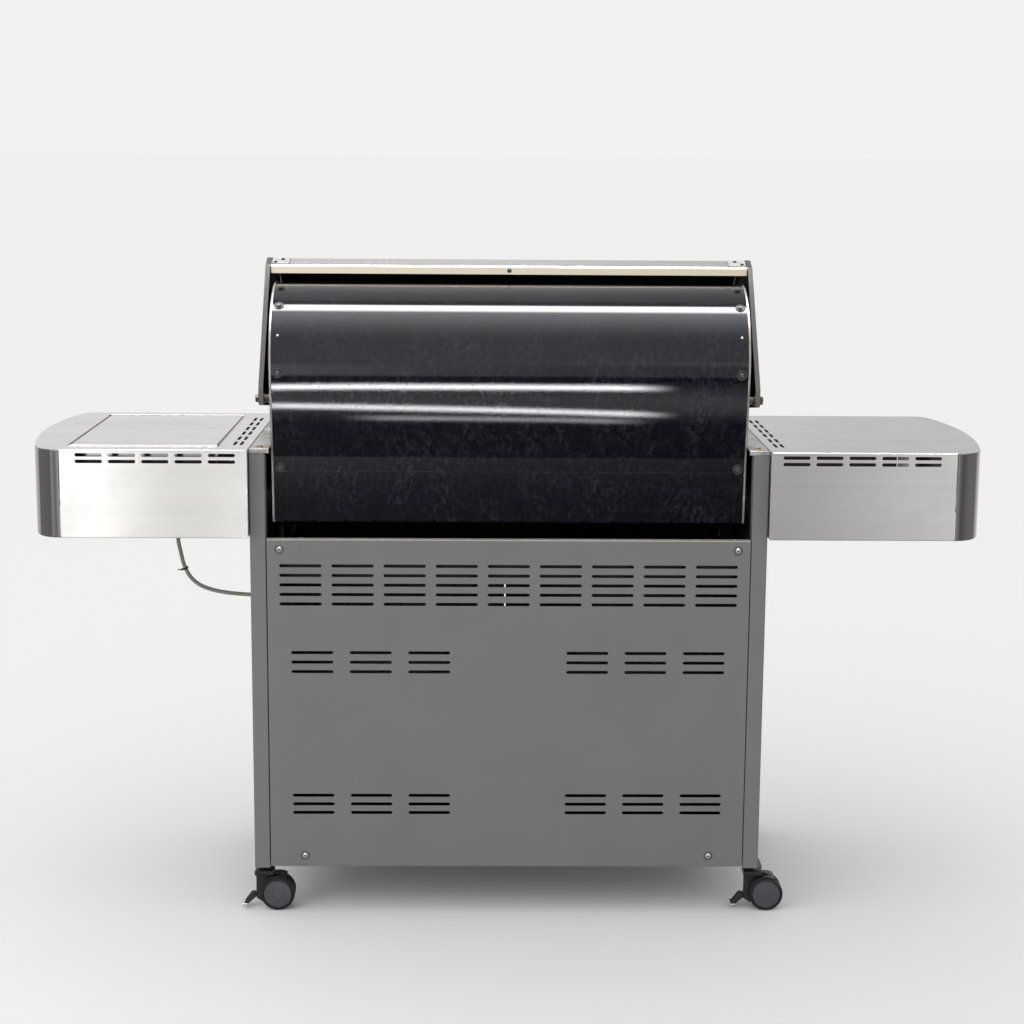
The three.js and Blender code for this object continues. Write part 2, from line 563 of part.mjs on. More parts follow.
function shelf(side) {
  const { inner, seam, near, far, bottom } = SHELF;
  const outline = [[inner, far], [inner, near], ...shelfEnd(8)].map(([x, d]) => [side * x, toY(d)]);
  const under = COUNTER - SHEET;
  const block = alongZ(polygon(outline), bottom, COUNTER);
  const beyondSeam = box(side * seam, side * (seam + 200), near - 20, far + 20, bottom - 1, under);
  const hollow = box(side * (inner + SHEET), side * (seam + 1), near + SHEET, far - SHEET, bottom - 1, under);
  let body = cut(block, beyondSeam, hollow, ...topVents(side), ...apronSlots(side, near));
  if (side > 0) {
    const { groove } = LID;
    const { x, knobHeight } = SIDE_BURNER;
    body = cut(body,
      box(LID.inner - groove, LID.outer + groove, LID.near - groove, LID.far + groove,
        COUNTER - 5, COUNTER + 5),
      cylinder(7, vec(x, toY(far - 5), knobHeight), vec(x, toY(far + 5), knobHeight)));
  }
  place(sideName('shelf', side), body, stainless);
}

// The curved end cap closes the shelf's outer end under the top sheet.
function shelfCap(side) {
  const line = shelfEnd(8);
  line[0] = [SHELF.seam + GAP, SHELF.near];
  line[line.length - 1] = [SHELF.seam + GAP, SHELF.far];
  const loop = sheetLoop(line, 2).map(([x, d]) => [side * x, toY(d)]);
  place(sideName('shelf_cap', side), alongZ(polygon(loop), SHELF.bottom, COUNTER - SHEET - GAP), darkSteel);
}

function sideBurnerBowl() {
  const { x, depth } = SIDE_BURNER;
  const groove = LID.groove - 0.5;
  const [x0, x1] = [LID.inner - groove, LID.outer + groove];
  const [d0, d1] = [LID.near - groove, LID.far + groove];
  const top = COUNTER - SHEET - GAP;
  const { floor, flange, hole } = BOWL;
  const walls = box(x0 - SHEET, x1 + SHEET, d0 - SHEET, d1 + SHEET, floor, top);
  const rim = box(x0 - flange, x1 + flange, d0 - flange, d1 + flange, top - SHEET, top);
  place('side_burner_bowl', cut(join(walls, rim), box(x0, x1, d0, d1, floor + SHEET, top + 1),
    cylinder(hole, vec(x, toY(depth), floor - 5), vec(x, toY(depth), floor + 5))), stainless);
}

// The burner's head, and the square pan grate that stands over it on four legs.
function sideBurnerTop() {
  const { x, depth, knobHeight } = SIDE_BURNER;
  place('side_burner_head', turned(BURNER_HEAD, vec(x, toY(depth), knobHeight), vec(0, 0, 1), 24), castIron);
  const { half, top, bar, opening } = PAN_GRATE;
  const legs = SIDES.flatMap((a) => SIDES.map((b) => box(x + a * (half - bar), x + a * half,
    depth + b * (half - bar), depth + b * half, BOWL.floor + SHEET + GAP, top)));
  const frame = grid(x - half, x + half, depth - half, depth + half, top - bar, top, bar, 2, 2);
  const middle = box(x - opening, x + opening, depth - opening, depth + opening, top - bar - 3, top + 5);
  place('side_burner_grate', cut(join(frame, ...legs), middle), castIron);
}

function sideBurnerLid() {
  const { inner, outer, near, far, top, lip } = LID;
  place('side_burner_lid', pan([inner, outer, near, far, top - lip, top],
    [inner + SHEET, outer - SHEET, near + SHEET, far - SHEET, top - lip - 1, top - SHEET]), stainless);
}

// The valve behind the side burner's knob, its feed to the burner and its elbow for the hose.
function sideBurnerValve() {
  const { x, depth, knobHeight: z } = SIDE_BURNER;
  const { half, near, far, stemEnd, feedRise, pipeDrop, pipe: pipeRadius, elbow: elbowRadius } = SIDE_VALVE;
  const body = box(x - half, x + half, near, far, z - half, z + half);
  const stem = cylinder(KNOB.stem, vec(x, toY(far - 2), z), vec(x, toY(stemEnd), z), 12);
  const feedEnd = depth + BURNER_HEAD[1][0] + GAP;
  const feed = cylinder(6, vec(x, toY(near + 2), z + feedRise), vec(x, toY(feedEnd), z + feedRise), 12);
  const link = box(HOSE_EXIT.x - 5, x, near + 6, far - 8, z - 12, z);
  const hoseY = toY(HOSE_EXIT.depth);
  const pipe = cylinder(pipeRadius, vec(HOSE_EXIT.x, toY(near + half), z - pipeDrop),
    vec(HOSE_EXIT.x, hoseY, z - pipeDrop), 12);
  const elbow = cylinder(elbowRadius, vec(HOSE_EXIT.x, hoseY, z - 1),
    vec(HOSE_EXIT.x, hoseY, HOSE_EXIT.height + GAP), 6);
  place('side_burner_valve', join(body, stem, feed, link, pipe, elbow), brass);
}

// ---------------------------------------------------------------- side burner hose

// The hose hangs from the side burner's elbow, enters the cart's right side through a grommet
// and climbs inside the cabinet to the outlet at the manifold's end. Points are (x, depth, height).
const HOSE_ROUTE = [
  [662, 245, 789.7], [662, 245, 765], [662, 245, 740], [661.9, 245, 695], [657, 245, 667.5],
  [650.3, 245, 640], [637.5, 245, 616], [620, 245, 601], [595, 245, 591], [564, 245, 585],
  [525, 245, 581.5], [507, 245, 581], [492, 245, 581], [477, 245, 583.8], [464.4, 245, 592.2],
  [456, 245.3, 604.7], [452.6, 247, 620], [452.4, 251, 637], [453.6, 260, 664], [456, 276, 692],
  [460, 303, 715], [463.5, 341, 730], [466.5, 384, 738.5], [469, 430, 744.5], [470, 470, 748.5],
  [470, 487, 749.8], [470, 502, 750], [470, 515.8, 752.7], [470, 527.5, 760.5], [470, 535.3, 772.2],
  [470, 538, 785], [470, 538, 797.7],
];

function gasHose() {
  const curve = new THREE.CatmullRomCurve3(HOSE_ROUTE.map(([x, d, z]) => vec(x, toY(d), z)));
  const section = polygon(arc(0, 0, HOSE_RADIUS, 0, 315, 7));
  const geometry = new THREE.ExtrudeGeometry(section, { steps: 46, bevelEnabled: false, extrudePath: curve });
  place('gas_hose', solid(geometry), hoseSteel);
}

function hoseGrommet() {
  const bore = HOSE_RADIUS + 0.7;
  const outer = HOSE_HOLE.radius + 3;
  const waist = HOSE_HOLE.radius - GAP;
  const y = toY(HOSE_HOLE.depth);
  const at = (x) => vec(x, y, HOSE_HOLE.height);
  const ring = join(
    cylinder(waist, at(CART.half - SHEET - 3), at(CART.half + 3)),
    cylinder(outer, at(CART.half + GAP), at(CART.half + 3)),
    cylinder(outer, at(CART.half - SHEET - 3), at(CART.half - SHEET - GAP)));
  place('hose_grommet', cut(ring, cylinder(bore, at(CART.half - 20), at(CART.half + 20))), blackPlastic);
}

// ---------------------------------------------------------------- hood

// The hood's outer line from the rear flange over the top to the front edge, as (depth, height).
function hoodProfile(proud = 0) {
  const { depth, height, radius, bottom } = HOOD;
  const line = [[HOOD_REAR.depth, HOOD_REAR.flangeBottom], [HOOD_REAR.depth, HOOD_REAR.flangeTop],
    [HOOD_REAR.cornerDepth, HOOD_REAR.cornerHeight], ...arc(depth, height, radius, 90, 0, 16),
    [depth + radius, bottom]];
  return offset(line, proud);
}

function hoodSkin() {
  const loop = sheetLoop(hoodProfile(), -HOOD.sheet);
  place('hood_skin', alongX(sideOutline(loop), -HOOD.half, HOOD.half), stainless);
}

// End cap: a pressed plate with a rim, carried on the pivot at its rear lower corner.
function hoodCap(side) {
  const over = hoodProfile(HOOD_CAP.proud).slice(2);
  const loop = [...HOOD_CAP_REAR, ...over];
  const inner = offset([...loop, loop[0], loop[1]], -HOOD_CAP.rim).slice(0, -2);
  const ends = ordered(side * HOOD_CAP.inner, side * HOOD_CAP.outer);
  const recess = ordered(side * (HOOD_CAP.inner - 1), side * (HOOD_CAP.outer - HOOD_CAP.plate));
  const boss = cylinder(PIVOT.boss + 2, vec(ends[0], toY(PIVOT.depth), PIVOT.height),
    vec(ends[1], toY(PIVOT.depth), PIVOT.height));
  const bore = cylinder(PIVOT.bore, vec(ends[0] - 2, toY(PIVOT.depth), PIVOT.height),
    vec(ends[1] + 2, toY(PIVOT.depth), PIVOT.height));
  const shell = cut(alongX(sideOutline(loop), ...ends), alongX(sideOutline(inner.slice(1)), ...recess));
  place(sideName('hood_cap', side), cut(join(shell, boss), bore), capGrey);
}

// Everything inside the hood's outer line: cuts the fittings that stand on it.
const hoodCore = () => alongX(sideOutline([...hoodProfile(GAP), [HOOD_REAR.depth, HOOD.bottom]]), -500, 500);

function hoodHandle() {
  const { depth, height, radius, half, post, postFrom, postRadius } = HANDLE;
  const bar = cylinder(radius, vec(-half, toY(depth), height), vec(half, toY(depth), height));
  const posts = SIDES.map((side) => cylinder(postRadius, vec(side * post, toY(postFrom), height),
    vec(side * post, toY(depth), height)));
  place('hood_handle', cut(join(bar, ...posts), hoodCore()), chrome);
}

function thermometer() {
  const angle = THREE.MathUtils.degToRad(THERMOMETER.angle);
  const out = vec(0, -Math.cos(angle), Math.sin(angle));
  const centre = vec(0, toY(HOOD.depth), HOOD.height).addScaledVector(out, HOOD.radius);
  const { radius, thickness } = THERMOMETER;
  const body = turned([[0, -5], [radius, -5], [radius, thickness - 3], [radius - 3, thickness],
    [radius - 6, thickness], [radius - 7, thickness - 2], [0, thickness - 2]], centre, out, 28);
  place('thermometer', cut(body, hoodCore()), chrome);
}

// ---------------------------------------------------------------- casters

// The brake pedal of a caster: two cheeks on a pin, and a tread.
function brakePedal(name, x, depth, plate) {
  const { pivotZ, pin: pinRadius, reach, inner, outer, treadHalf } = PEDAL;
  const y = toY(depth);
  const pivotX = x + PEDAL.pivotX;
  const cheek = polygon([[pivotX - 4, pivotZ + 4], [pivotX - 4, pivotZ - 5],
    [x + reach - 6, 9], [x + reach, 9], [pivotX + 6, pivotZ + 4]]);
  const cheeks = SIDES.map((side) => plate(cheek, ...ordered(y + side * inner, y + side * outer)));
  const pin = cylinder(pinRadius, vec(pivotX, y - 6, pivotZ), vec(pivotX, y + 6, pivotZ), 12);
  const tread = box(x + reach - 8, x + reach + 2, depth - treadHalf, depth + treadHalf, 8, 11.5);
  place(`brake_pedal_${name}`, join(...cheeks, pin, tread), chrome);
}

// A twin-wheel caster trailing towards -X: housing, pair of wheels on one axle, brake pedal.
function caster(name, x, depth, braked) {
  const { trail, radius, half, web, gap, axle, bore } = CASTER;
  const y = toY(depth);
  const axleX = x - trail;
  const outline = new THREE.Shape();
  outline.moveTo(x + FORK.front, 20);
  outline.lineTo(x + FORK.front, FORK.top);
  outline.lineTo(x - FORK.rear, FORK.top);
  outline.lineTo(axleX - 8, FORK.shoulder);
  outline.absarc(axleX, radius, FORK.hub, Math.PI * 0.75, Math.PI * 1.5, false);
  outline.lineTo(x, FORK.chin);
  const plate = (shape, y0, y1) => extrude(
    shape, y1 - y0, vec(1, 0, 0), vec(0, 0, 1), vec(0, -1, 0), vec(0, y1, 0));
  const axleHole = cylinder(bore, vec(axleX, y - 10, radius), vec(axleX, y + 10, radius), 16);
  const block = CROWN_BLOCK;
  const crown = box(x - block.back, x + block.front, depth - block.half, depth + block.half,
    radius + block.rise, radius + block.top);
  const stem = cylinder(block.stem, vec(x, y, FORK.top - 3), vec(x, y, CART.bottom - GAP));
  let housing = cut(join(plate(outline, y - web, y + web), crown, stem), axleHole);
  if (braked) {
    const pivotX = x + PEDAL.pivotX;
    const tongue = box(x + 5, pivotX + 5, depth - 3, depth + 3, PEDAL.pivotZ - 5, PEDAL.pivotZ + 5);
    const pinHole = cylinder(PEDAL.bore, vec(pivotX, y - 8, PEDAL.pivotZ), vec(pivotX, y + 8, PEDAL.pivotZ));
    housing = cut(join(housing, tongue), pinHole);
    brakePedal(name, x, depth, plate);
  }
  place(`caster_housing_${name}`, housing, blackPlastic);
  const wheelProfile = [[0, -half], [radius - 2, -half], [radius, -half + 2], [radius, -gap], [axle, -gap],
    [axle, gap], [radius, gap], [radius, half - 2], [radius - 2, half], [0, half]];
  place(`caster_wheels_${name}`, turned(wheelProfile, vec(axleX, y, radius), vec(0, 1, 0), 24), blackPlastic);
}

// ---------------------------------------------------------------- assembly

SIDES.forEach(cartSide);
rearPanel();
bottomShelf();
SIDES.forEach(fireboxEnd);
backPanels();
fireboxFront();
hopper();
spread(BURNERS.count, BURNERS.pitch).forEach(burner);
flameTamers();
cookingGrates();
warmingRack();
gasManifold();
controlPanel();
spread(BURNERS.count, BURNERS.pitch).forEach((x, i) => knob(`knob_${i + 1}`, x, KNOB.near, BURNERS.height));
knob('side_burner_knob', SIDE_BURNER.x, SHELF.far + 1, SIDE_BURNER.knobHeight);
igniterButton();
SIDES.forEach(shelf);
SIDES.forEach(shelfCap);
sideBurnerBowl();
sideBurnerTop();
sideBurnerLid();
sideBurnerValve();
gasHose();
hoseGrommet();
greaseTray();
drawerFront();
hoodSkin();
SIDES.forEach(hoodCap);
hoodHandle();
thermometer();
SIDES.forEach(door);
SIDES.forEach(doorHandle);
caster('rear_right', CASTER.x, CASTER.rear, true);
caster('rear_left', -CASTER.x, CASTER.rear, true);
caster('front_right', CASTER.x, CASTER.front, false);
caster('front_left', -CASTER.x, CASTER.front, false);

export default group;
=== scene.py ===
"""Looks of a gas barbecue grill on a wheeled cart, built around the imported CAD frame.

Metres. The front faces -Y, the rear +Y, +X is the right-hand side seen from the front.
Sizes in the tables below are millimetres, and mm() turns them into metres.
"""

import math

import bmesh
import bpy
from mathutils import Matrix, Vector, noise


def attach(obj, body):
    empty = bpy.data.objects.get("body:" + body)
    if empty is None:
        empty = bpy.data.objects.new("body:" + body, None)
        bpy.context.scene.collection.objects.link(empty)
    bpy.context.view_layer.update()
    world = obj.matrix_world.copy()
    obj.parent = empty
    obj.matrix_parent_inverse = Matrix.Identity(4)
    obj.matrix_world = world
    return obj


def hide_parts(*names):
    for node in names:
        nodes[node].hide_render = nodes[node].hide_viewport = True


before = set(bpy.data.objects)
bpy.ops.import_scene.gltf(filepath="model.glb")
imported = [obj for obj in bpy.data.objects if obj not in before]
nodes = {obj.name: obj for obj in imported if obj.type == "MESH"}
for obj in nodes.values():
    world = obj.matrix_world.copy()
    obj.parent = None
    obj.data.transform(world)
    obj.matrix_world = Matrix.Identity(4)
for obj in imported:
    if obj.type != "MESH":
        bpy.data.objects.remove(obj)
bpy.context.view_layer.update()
scene = bpy.context.scene

# ------------------------------------------------------------------ driving dimensions

MM = 0.001
SMOOTH_ANGLE = 32  # degrees between faces, above which an edge stays sharp
BEVEL_ANGLE = 35
SIDES = (("left", -1), ("right", 1))
REAR_Y = 288  # y of the cart's rear face; depths are measured forward from it
SHEET = 1.5

CAMERA = {"place": (59.4, 4005.5, 1462.8), "yaw": 0.01732, "pitch": 0.17726, "roll": -0.00722, "fov": 28.70}

HOSE_RADIUS = 4
HOSE_STEP = 0.004  # metres between the rings of the hose
HOSE_ROUTE = [  # (x, depth, height), the route of the CAD hose
    (662, 245, 789.7), (662, 245, 765), (662, 245, 740), (661.9, 245, 695), (657, 245, 667.5),
    (650.3, 245, 640), (637.5, 245, 616), (620, 245, 601), (595, 245, 591), (564, 245, 585),
    (525, 245, 581.5), (507, 245, 581), (492, 245, 581), (477, 245, 583.8), (464.4, 245, 592.2),
    (456, 245.3, 604.7), (452.6, 247, 620), (452.4, 251, 637), (453.6, 260, 664), (456, 276, 692),
    (460, 303, 715), (463.5, 341, 730), (466.5, 384, 738.5), (469, 430, 744.5), (470, 470, 748.5),
    (470, 487, 749.8), (470, 502, 750), (470, 515.8, 752.7), (470, 527.5, 760.5), (470, 535.3, 772.2),
    (470, 538, 785), (470, 538, 797.7),
]
CABLE_TIE = {"along": 0.156, "radius": 5.2, "strand": 0.95, "head": (5.5, 4.5, 4.0), "tail": 10,
             "tail_radius": 1.1}

SLOT = {"length": 80, "height": 6}
SLOT_FIELD = {"columns": 9, "pitch": 98.8, "top": 691.5, "rows": 5, "drop": 18.5}
SLOT_GROUPS = {"columns": (151.2, 262.7, 374.3), "rows": 3, "tops": ((522.5, 18.7), (238.8, 17.3))}
PANEL_SCREWS = ((435, 723), (392, 117))

NOTCH = {"pitch": 57, "radius": 3.2}
BACK_BOLTS = {"x": 436, "depth_height": ((73, 1178), (22.4, 1055)), "rivet": (34, 1125),
              "faint": (120, 1207), "lap": (50.0, 872), "rim": 9.4}

HOOD = {"depth": 225, "height": 948, "radius": 310, "bottom": 929, "half": 463, "sheet": 2}
HOOD_REAR = {"depth": 196, "bottom": 1231, "top": 1244, "corner": (200, 1248)}
HOOD_CAP = {"inner": 463.7, "outer": 472.9, "proud": 1.5, "rim": 3, "plate": 2, "boss": 12}
HOOD_CAP_REAR = ((50, 991), (36, 993), (31, 1000), (31, 1027), (150, 1190), (192, 1247))
# The dark rim under each lug, 0.5 mm thick, is painted shadow along the lug's edges.
LUG = {"inner": 428, "outer": 461, "thick": 1.0, "shadow_rim_thick": 0.5, "margin": 0.9}
PIVOT = {"depth": 44, "height": 1005, "bore": 5, "pin": 4.2, "pin_length": 25, "head": 8, "washer": 9.5}
# The profile of the spacer on the pivot, (radius, distance from the end plate).
SPACER = ((5, 0), (9, 0), (9, 3), (7.5, 3.5), (7.5, 8), (9.5, 8.5), (9.5, 10.8), (5, 10.8))

COUNTER = 915
SHELF = {"inner": 490.5, "seam": 840, "near": -20, "far": 520, "bottom": 748, "fold": 2.4}
APRON_SLOT = {"columns": 5, "centre": 661.5, "pitch": 61.8, "top": 905, "drop": 12.3, "length": 50.5,
              "height": 6}
TOP_VENT = {"columns": (509.8, 522.4), "depths": (73, 141, 214, 280, 350, 419), "half": 2.8, "reach": 24}
LID = {"inner": 554.5, "outer": 830.5, "near": 36, "far": 474.5, "groove": 3, "tall": 10,
       "height": 910.3}
LID_BEAD = {"offset": 1.6, "radius": 1.3}

# ------------------------------------------------------------------ geometry helpers


def mm(*values):
    """Millimetres to metres: one number, or a vector."""
    return values[0] * MM if len(values) == 1 else Vector(values) * MM


def to_y(depth):
    """y in metres of a depth forward of the cart's rear face, in millimetres."""
    return (REAR_Y - depth) * MM


def at(x, depth, height):
    return Vector((x * MM, to_y(depth), height * MM))


def spread(count, pitch):
    return [(i - (count - 1) / 2) * pitch for i in range(count)]


def arc(cx, cy, radius, start, end, steps):
    """Points on an arc, angles in degrees."""
    turn = [math.radians(start + (end - start) * i / steps) for i in range(steps + 1)]
    return [(cx + radius * math.cos(a), cy + radius * math.sin(a)) for a in turn]


def circle(x, y, radius, steps=28):
    """A hole's outline."""
    return arc(x, y, radius, 0, 360, steps)[:-1]


def slot_outline(x, y, length, height, steps=6):
    """The outline of a level slot with round ends."""
    r = height / 2
    reach = length / 2 - r
    return arc(x + reach, y, r, -90, 90, steps) + arc(x - reach, y, r, 90, 270, steps)


def fillet(points, radius, steps=4):
    """An open line of points with its corners rounded."""
    out = [points[0]]
    for before, corner, after in zip(points, points[1:], points[2:]):
        c, a, b = Vector(corner), Vector(before), Vector(after)
        u, v = (a - c), (b - c)
        reach = min(radius, u.length * 0.45, v.length * 0.45)
        start, end = c + u.normalized() * reach, c + v.normalized() * reach
        for i in range(steps + 1):
            t = i / steps
            out.append(tuple((start * (1 - t) + c * t) * (1 - t) + (c * (1 - t) + end * t) * t))
    return out + [points[-1]]


def offset(points, distance):
    """An open line of points moved to its left."""
    out = []
    for i, point in enumerate(points):
        tangents = []
        for a, b in ((i - 1, i), (i, i + 1)):
            if 0 <= a and b < len(points):
                tangents.append((Vector(points[b]) - Vector(points[a])).normalized())
        tangent = sum(tangents, Vector((0, 0))) / len(tangents)
        normal = Vector((-tangent.y, tangent.x))
        out.append(tuple(Vector(point) + normal * distance / max(normal.length_squared, 0.2)))
    return out


def sheet_loop(points, thickness):
    """The closed section of a bent sheet, given as an open line."""
    return list(points) + offset(points, thickness)[::-1]


def bm_to_mesh(bm, name):
    bmesh.ops.recalc_face_normals(bm, faces=bm.faces)
    mesh = bpy.data.meshes.new(name)
    bm.to_mesh(mesh)
    bm.free()
    return mesh


def prism(section, start, end, place, cuts=1):
    """A section pushed from start to end: place(u, v, w) gives the vertex for section point (u, v) at w."""
    bm = bmesh.new()
    rings = []
    for i in range(cuts + 1):
        w = start + (end - start) * i / cuts
        rings.append([bm.verts.new(place(u, v, w)) for u, v in section])
    count = len(section)
    for a, b in zip(rings, rings[1:]):
        for k in range(count):
            bm.faces.new((a[k], a[(k + 1) % count], b[(k + 1) % count], b[k]))
    bm.faces.new(rings[0])
    bm.faces.new(rings[-1])
    return bm_to_mesh(bm, "prism")


def along_x(u, v, w):
    """Section in (depth, height), pushed along x."""
    return at(w, u, v)


def along_depth(u, v, w):
    """Section in (x, height), pushed along the depth."""
    return at(u, w, v)


def along_z(u, v, w):
    """Section in (x, depth), pushed up."""
    return at(u, v, w)


def lathe(profile, segments=48):
    """A turned shape about z from points (radius, height), in millimetres."""
    bm = bmesh.new()
    rings = []
    for r, h in profile:
        if r == 0:
            rings.append([bm.verts.new((0, 0, h * MM))])
        else:
            angles = [2 * math.pi * k / segments for k in range(segments)]
            ring = [(r * MM * math.cos(a), r * MM * math.sin(a), h * MM) for a in angles]
            rings.append([bm.verts.new(point) for point in ring])
    for a, b in zip(rings, rings[1:]):
        for k in range(segments):
            j = (k + 1) % segments
            loop = [a[k % len(a)], a[j % len(a)], b[j % len(b)], b[k % len(b)]]
            unique = list(dict.fromkeys(loop))
            if len(unique) > 2:
                bm.faces.new(unique)
    return bm_to_mesh(bm, "lathe")


def rod(radius, start, end, segments):
    """A plain round rod along z."""
    return lathe([(0, start), (radius, start), (radius, end), (0, end)], segments)


def block(size, bevel=0.0, segments=2):
    """A box about the origin with rounded edges, in millimetres."""
    bm = bmesh.new()
    bmesh.ops.create_cube(bm, size=1)
    bmesh.ops.scale(bm, vec=Vector(size) * MM, verts=bm.verts)
    if bevel:
        bmesh.ops.bevel(bm, geom=bm.edges[:], offset=bevel * MM, segments=segments, profile=0.5,
                        affect="EDGES")
    return bm_to_mesh(bm, "block")


def tube(points, radius, sides=12, closed=False):
    """A round rod along points in metres, with a uv map: u along in metres, v around."""
    bm = bmesh.new()
    uv = bm.loops.layers.uv.new("UVMap")
    count = len(points)
    normal = Vector((0, 0, 1))
    rings = []
    along = [0.0]
    for a, b in zip(points, points[1:]):
        along.append(along[-1] + (b - a).length)
    for i, point in enumerate(points):
        before, after = points[max(i - 1, 0)], points[min(i + 1, count - 1)]
        if closed:
            before, after = points[i - 1], points[(i + 1) % count]
        tangent = (after - before).normalized()
        if abs(tangent.dot(normal)) > 0.98:
            normal = Vector((1, 0, 0))
        normal = (normal - tangent * tangent.dot(normal)).normalized()
        side = tangent.cross(normal)
        angles = [2 * math.pi * k / sides for k in range(sides)]
        spokes = [normal * math.cos(a) + side * math.sin(a) for a in angles]
        rings.append([bm.verts.new(point + spoke * radius) for spoke in spokes])
    pairs = list(zip(range(count), range(1, count))) + ([(count - 1, 0)] if closed else [])
    for i, j in pairs:
        for k in range(sides):
            corners = ((i, k), (i, k + 1), (j, k + 1), (j, k))
            face = bm.faces.new([rings[ring][corner % sides] for ring, corner in corners])
            for loop, (ring, corner) in zip(face.loops, corners):
                loop[uv].uv = (along[ring], corner / sides)
    if not closed:
        bm.faces.new(rings[0])
        bm.faces.new(rings[-1])
    return bm_to_mesh(bm, "tube")


def smooth_line(points, steps=6):
    """A Catmull-Rom line through the points."""
    out = []
    for i in range(len(points) - 1):
        p0, p1 = points[max(i - 1, 0)], points[i]
        p2, p3 = points[i + 1], points[min(i + 2, len(points) - 1)]
        t = [0.0]
        for a, b in ((p0, p1), (p1, p2), (p2, p3)):
            t.append(t[-1] + max((b - a).length, 1e-6) ** 0.5)
        for k in range(steps):
            s = t[1] + (t[2] - t[1]) * k / steps
            a1 = p0.lerp(p1, (s - t[0]) / (t[1] - t[0]))
            a2 = p1.lerp(p2, (s - t[1]) / (t[2] - t[1]))
            a3 = p2.lerp(p3, (s - t[2]) / (t[3] - t[2]))
            b1 = a1.lerp(a2, (s - t[0]) / (t[2] - t[0]))
            b2 = a2.lerp(a3, (s - t[1]) / (t[3] - t[1]))
            out.append(b1.lerp(b2, (s - t[1]) / (t[2] - t[1])))
    return out + [points[-1]]


def smooth_corners(points, radius, steps=5):
    """A closed ring of points in metres with its corners rounded (radius in mm)."""
    out = []
    for i, corner in enumerate(points):
        before, after = points[i - 1], points[(i + 1) % len(points)]
        start = corner + (before - corner).normalized() * mm(radius)
        end = corner + (after - corner).normalized() * mm(radius)
        for k in range(steps + 1):
            t = k / steps
            out.append(start.lerp(corner, t).lerp(corner.lerp(end, t), t))
    return out


def aim(place, axis, roll=0.0):
    """A matrix that stands a shape's z axis along axis at a place."""
    turn = Vector(axis).to_track_quat("Z", "Y").to_matrix().to_4x4()
    return Matrix.Translation(place) @ turn @ Matrix.Rotation(roll, 4, "Z")


def merged(*parts):
    """One mesh from several (mesh, matrix) pairs."""
    bm = bmesh.new()
    for mesh, matrix in parts:
        piece = mesh.copy()
        piece.transform(matrix)
        bm.from_mesh(piece)
        bpy.data.meshes.remove(piece)
    out = bpy.data.meshes.new("merged")
    bm.to_mesh(out)
    bm.free()
    return out


def stamp(mesh, matrices):
    return merged(*[(mesh, matrix) for matrix in matrices])


def plain(mesh):
    """A part of merged() that is already in place."""
    return mesh, Matrix.Identity(4)


def cut(mesh, cutter):
    """mesh with cutter's volume taken away."""
    body = bpy.data.objects.new("cut_body", mesh)
    tool = bpy.data.objects.new("cut_tool", cutter)
    for ob in (body, tool):
        scene.collection.objects.link(ob)
    modifier = body.modifiers.new("cut", "BOOLEAN")
    modifier.object = tool
    modifier.operation = "DIFFERENCE"
    modifier.solver = "EXACT"
    graph = bpy.context.evaluated_depsgraph_get()
    out = bpy.data.meshes.new_from_object(body.evaluated_get(graph))
    for ob in (body, tool):
        bpy.data.objects.remove(ob)
    return out


def folded(mesh, open_test, fold):
    """A closed block made into a folded sheet: faces that pass open_test go, other corners are rounded."""
    bm = bmesh.new()
    bm.from_mesh(mesh)
    bm.normal_update()
    bmesh.ops.delete(bm, geom=[f for f in bm.faces if open_test(f)], context="FACES")
    corners = [e for e in bm.edges if len(e.link_faces) == 2 and e.calc_face_angle() > math.radians(50)]
    bmesh.ops.bevel(bm, geom=corners, offset=fold * MM, segments=5, profile=0.5, affect="EDGES")
    bmesh.ops.solidify(bm, geom=bm.faces[:], thickness=SHEET * MM)
    return bm_to_mesh(bm, "folded")


def finish_shading(ob, smooth_angle=SMOOTH_ANGLE, bevel=0.0):
    """Smooth shading with sharp corners, and rounded edges if bevel (mm) is given."""
    ob.data.shade_smooth()
    ob.data.set_sharp_from_angle(angle=math.radians(smooth_angle))
    if bevel:
        modifier = ob.modifiers.new("edges", "BEVEL")
        modifier.width = bevel * MM
        modifier.segments = 2
        modifier.limit_method = "ANGLE"
        modifier.angle_limit = math.radians(BEVEL_ANGLE)
        modifier.use_clamp_overlap = True
        modifier.harden_normals = False
    weighted = ob.modifiers.new("normals", "WEIGHTED_NORMAL")
    weighted.keep_sharp = True


def piece(name, mesh, material, body, slot, replaces=(), smooth_angle=SMOOTH_ANGLE, bevel=0.0):
    """A finished piece of the object, riding on a CAD body, in place of the CAD nodes that it replaces."""
    mesh.name = name
    for look in material if isinstance(material, list) else [material]:
        mesh.materials.append(look)
    ob = bpy.data.objects.new(name, mesh)
    scene.collection.objects.link(ob)
    finish_shading(ob, smooth_angle, bevel)
    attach(ob, body)
    if replaces:
        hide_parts(*replaces)
    return ob


def dress(node, material, bevel):
    """A CAD node that stays: its own shape with rounded edges and a finished material."""
    ob = nodes[node]
    mesh = ob.data
    mesh.materials.clear()
    mesh.materials.append(material)
    if "custom_normal" in mesh.attributes:
        mesh.attributes.remove(mesh.attributes["custom_normal"])
    weld = ob.modifiers.new("weld", "WELD")
    weld.merge_threshold = 1e-5
    flat = ob.modifiers.new("flat", "DECIMATE")
    flat.decimate_type = "DISSOLVE"
    flat.angle_limit = math.radians(0.5)
    finish_shading(ob, bevel=bevel)


# ------------------------------------------------------------------ camera and light


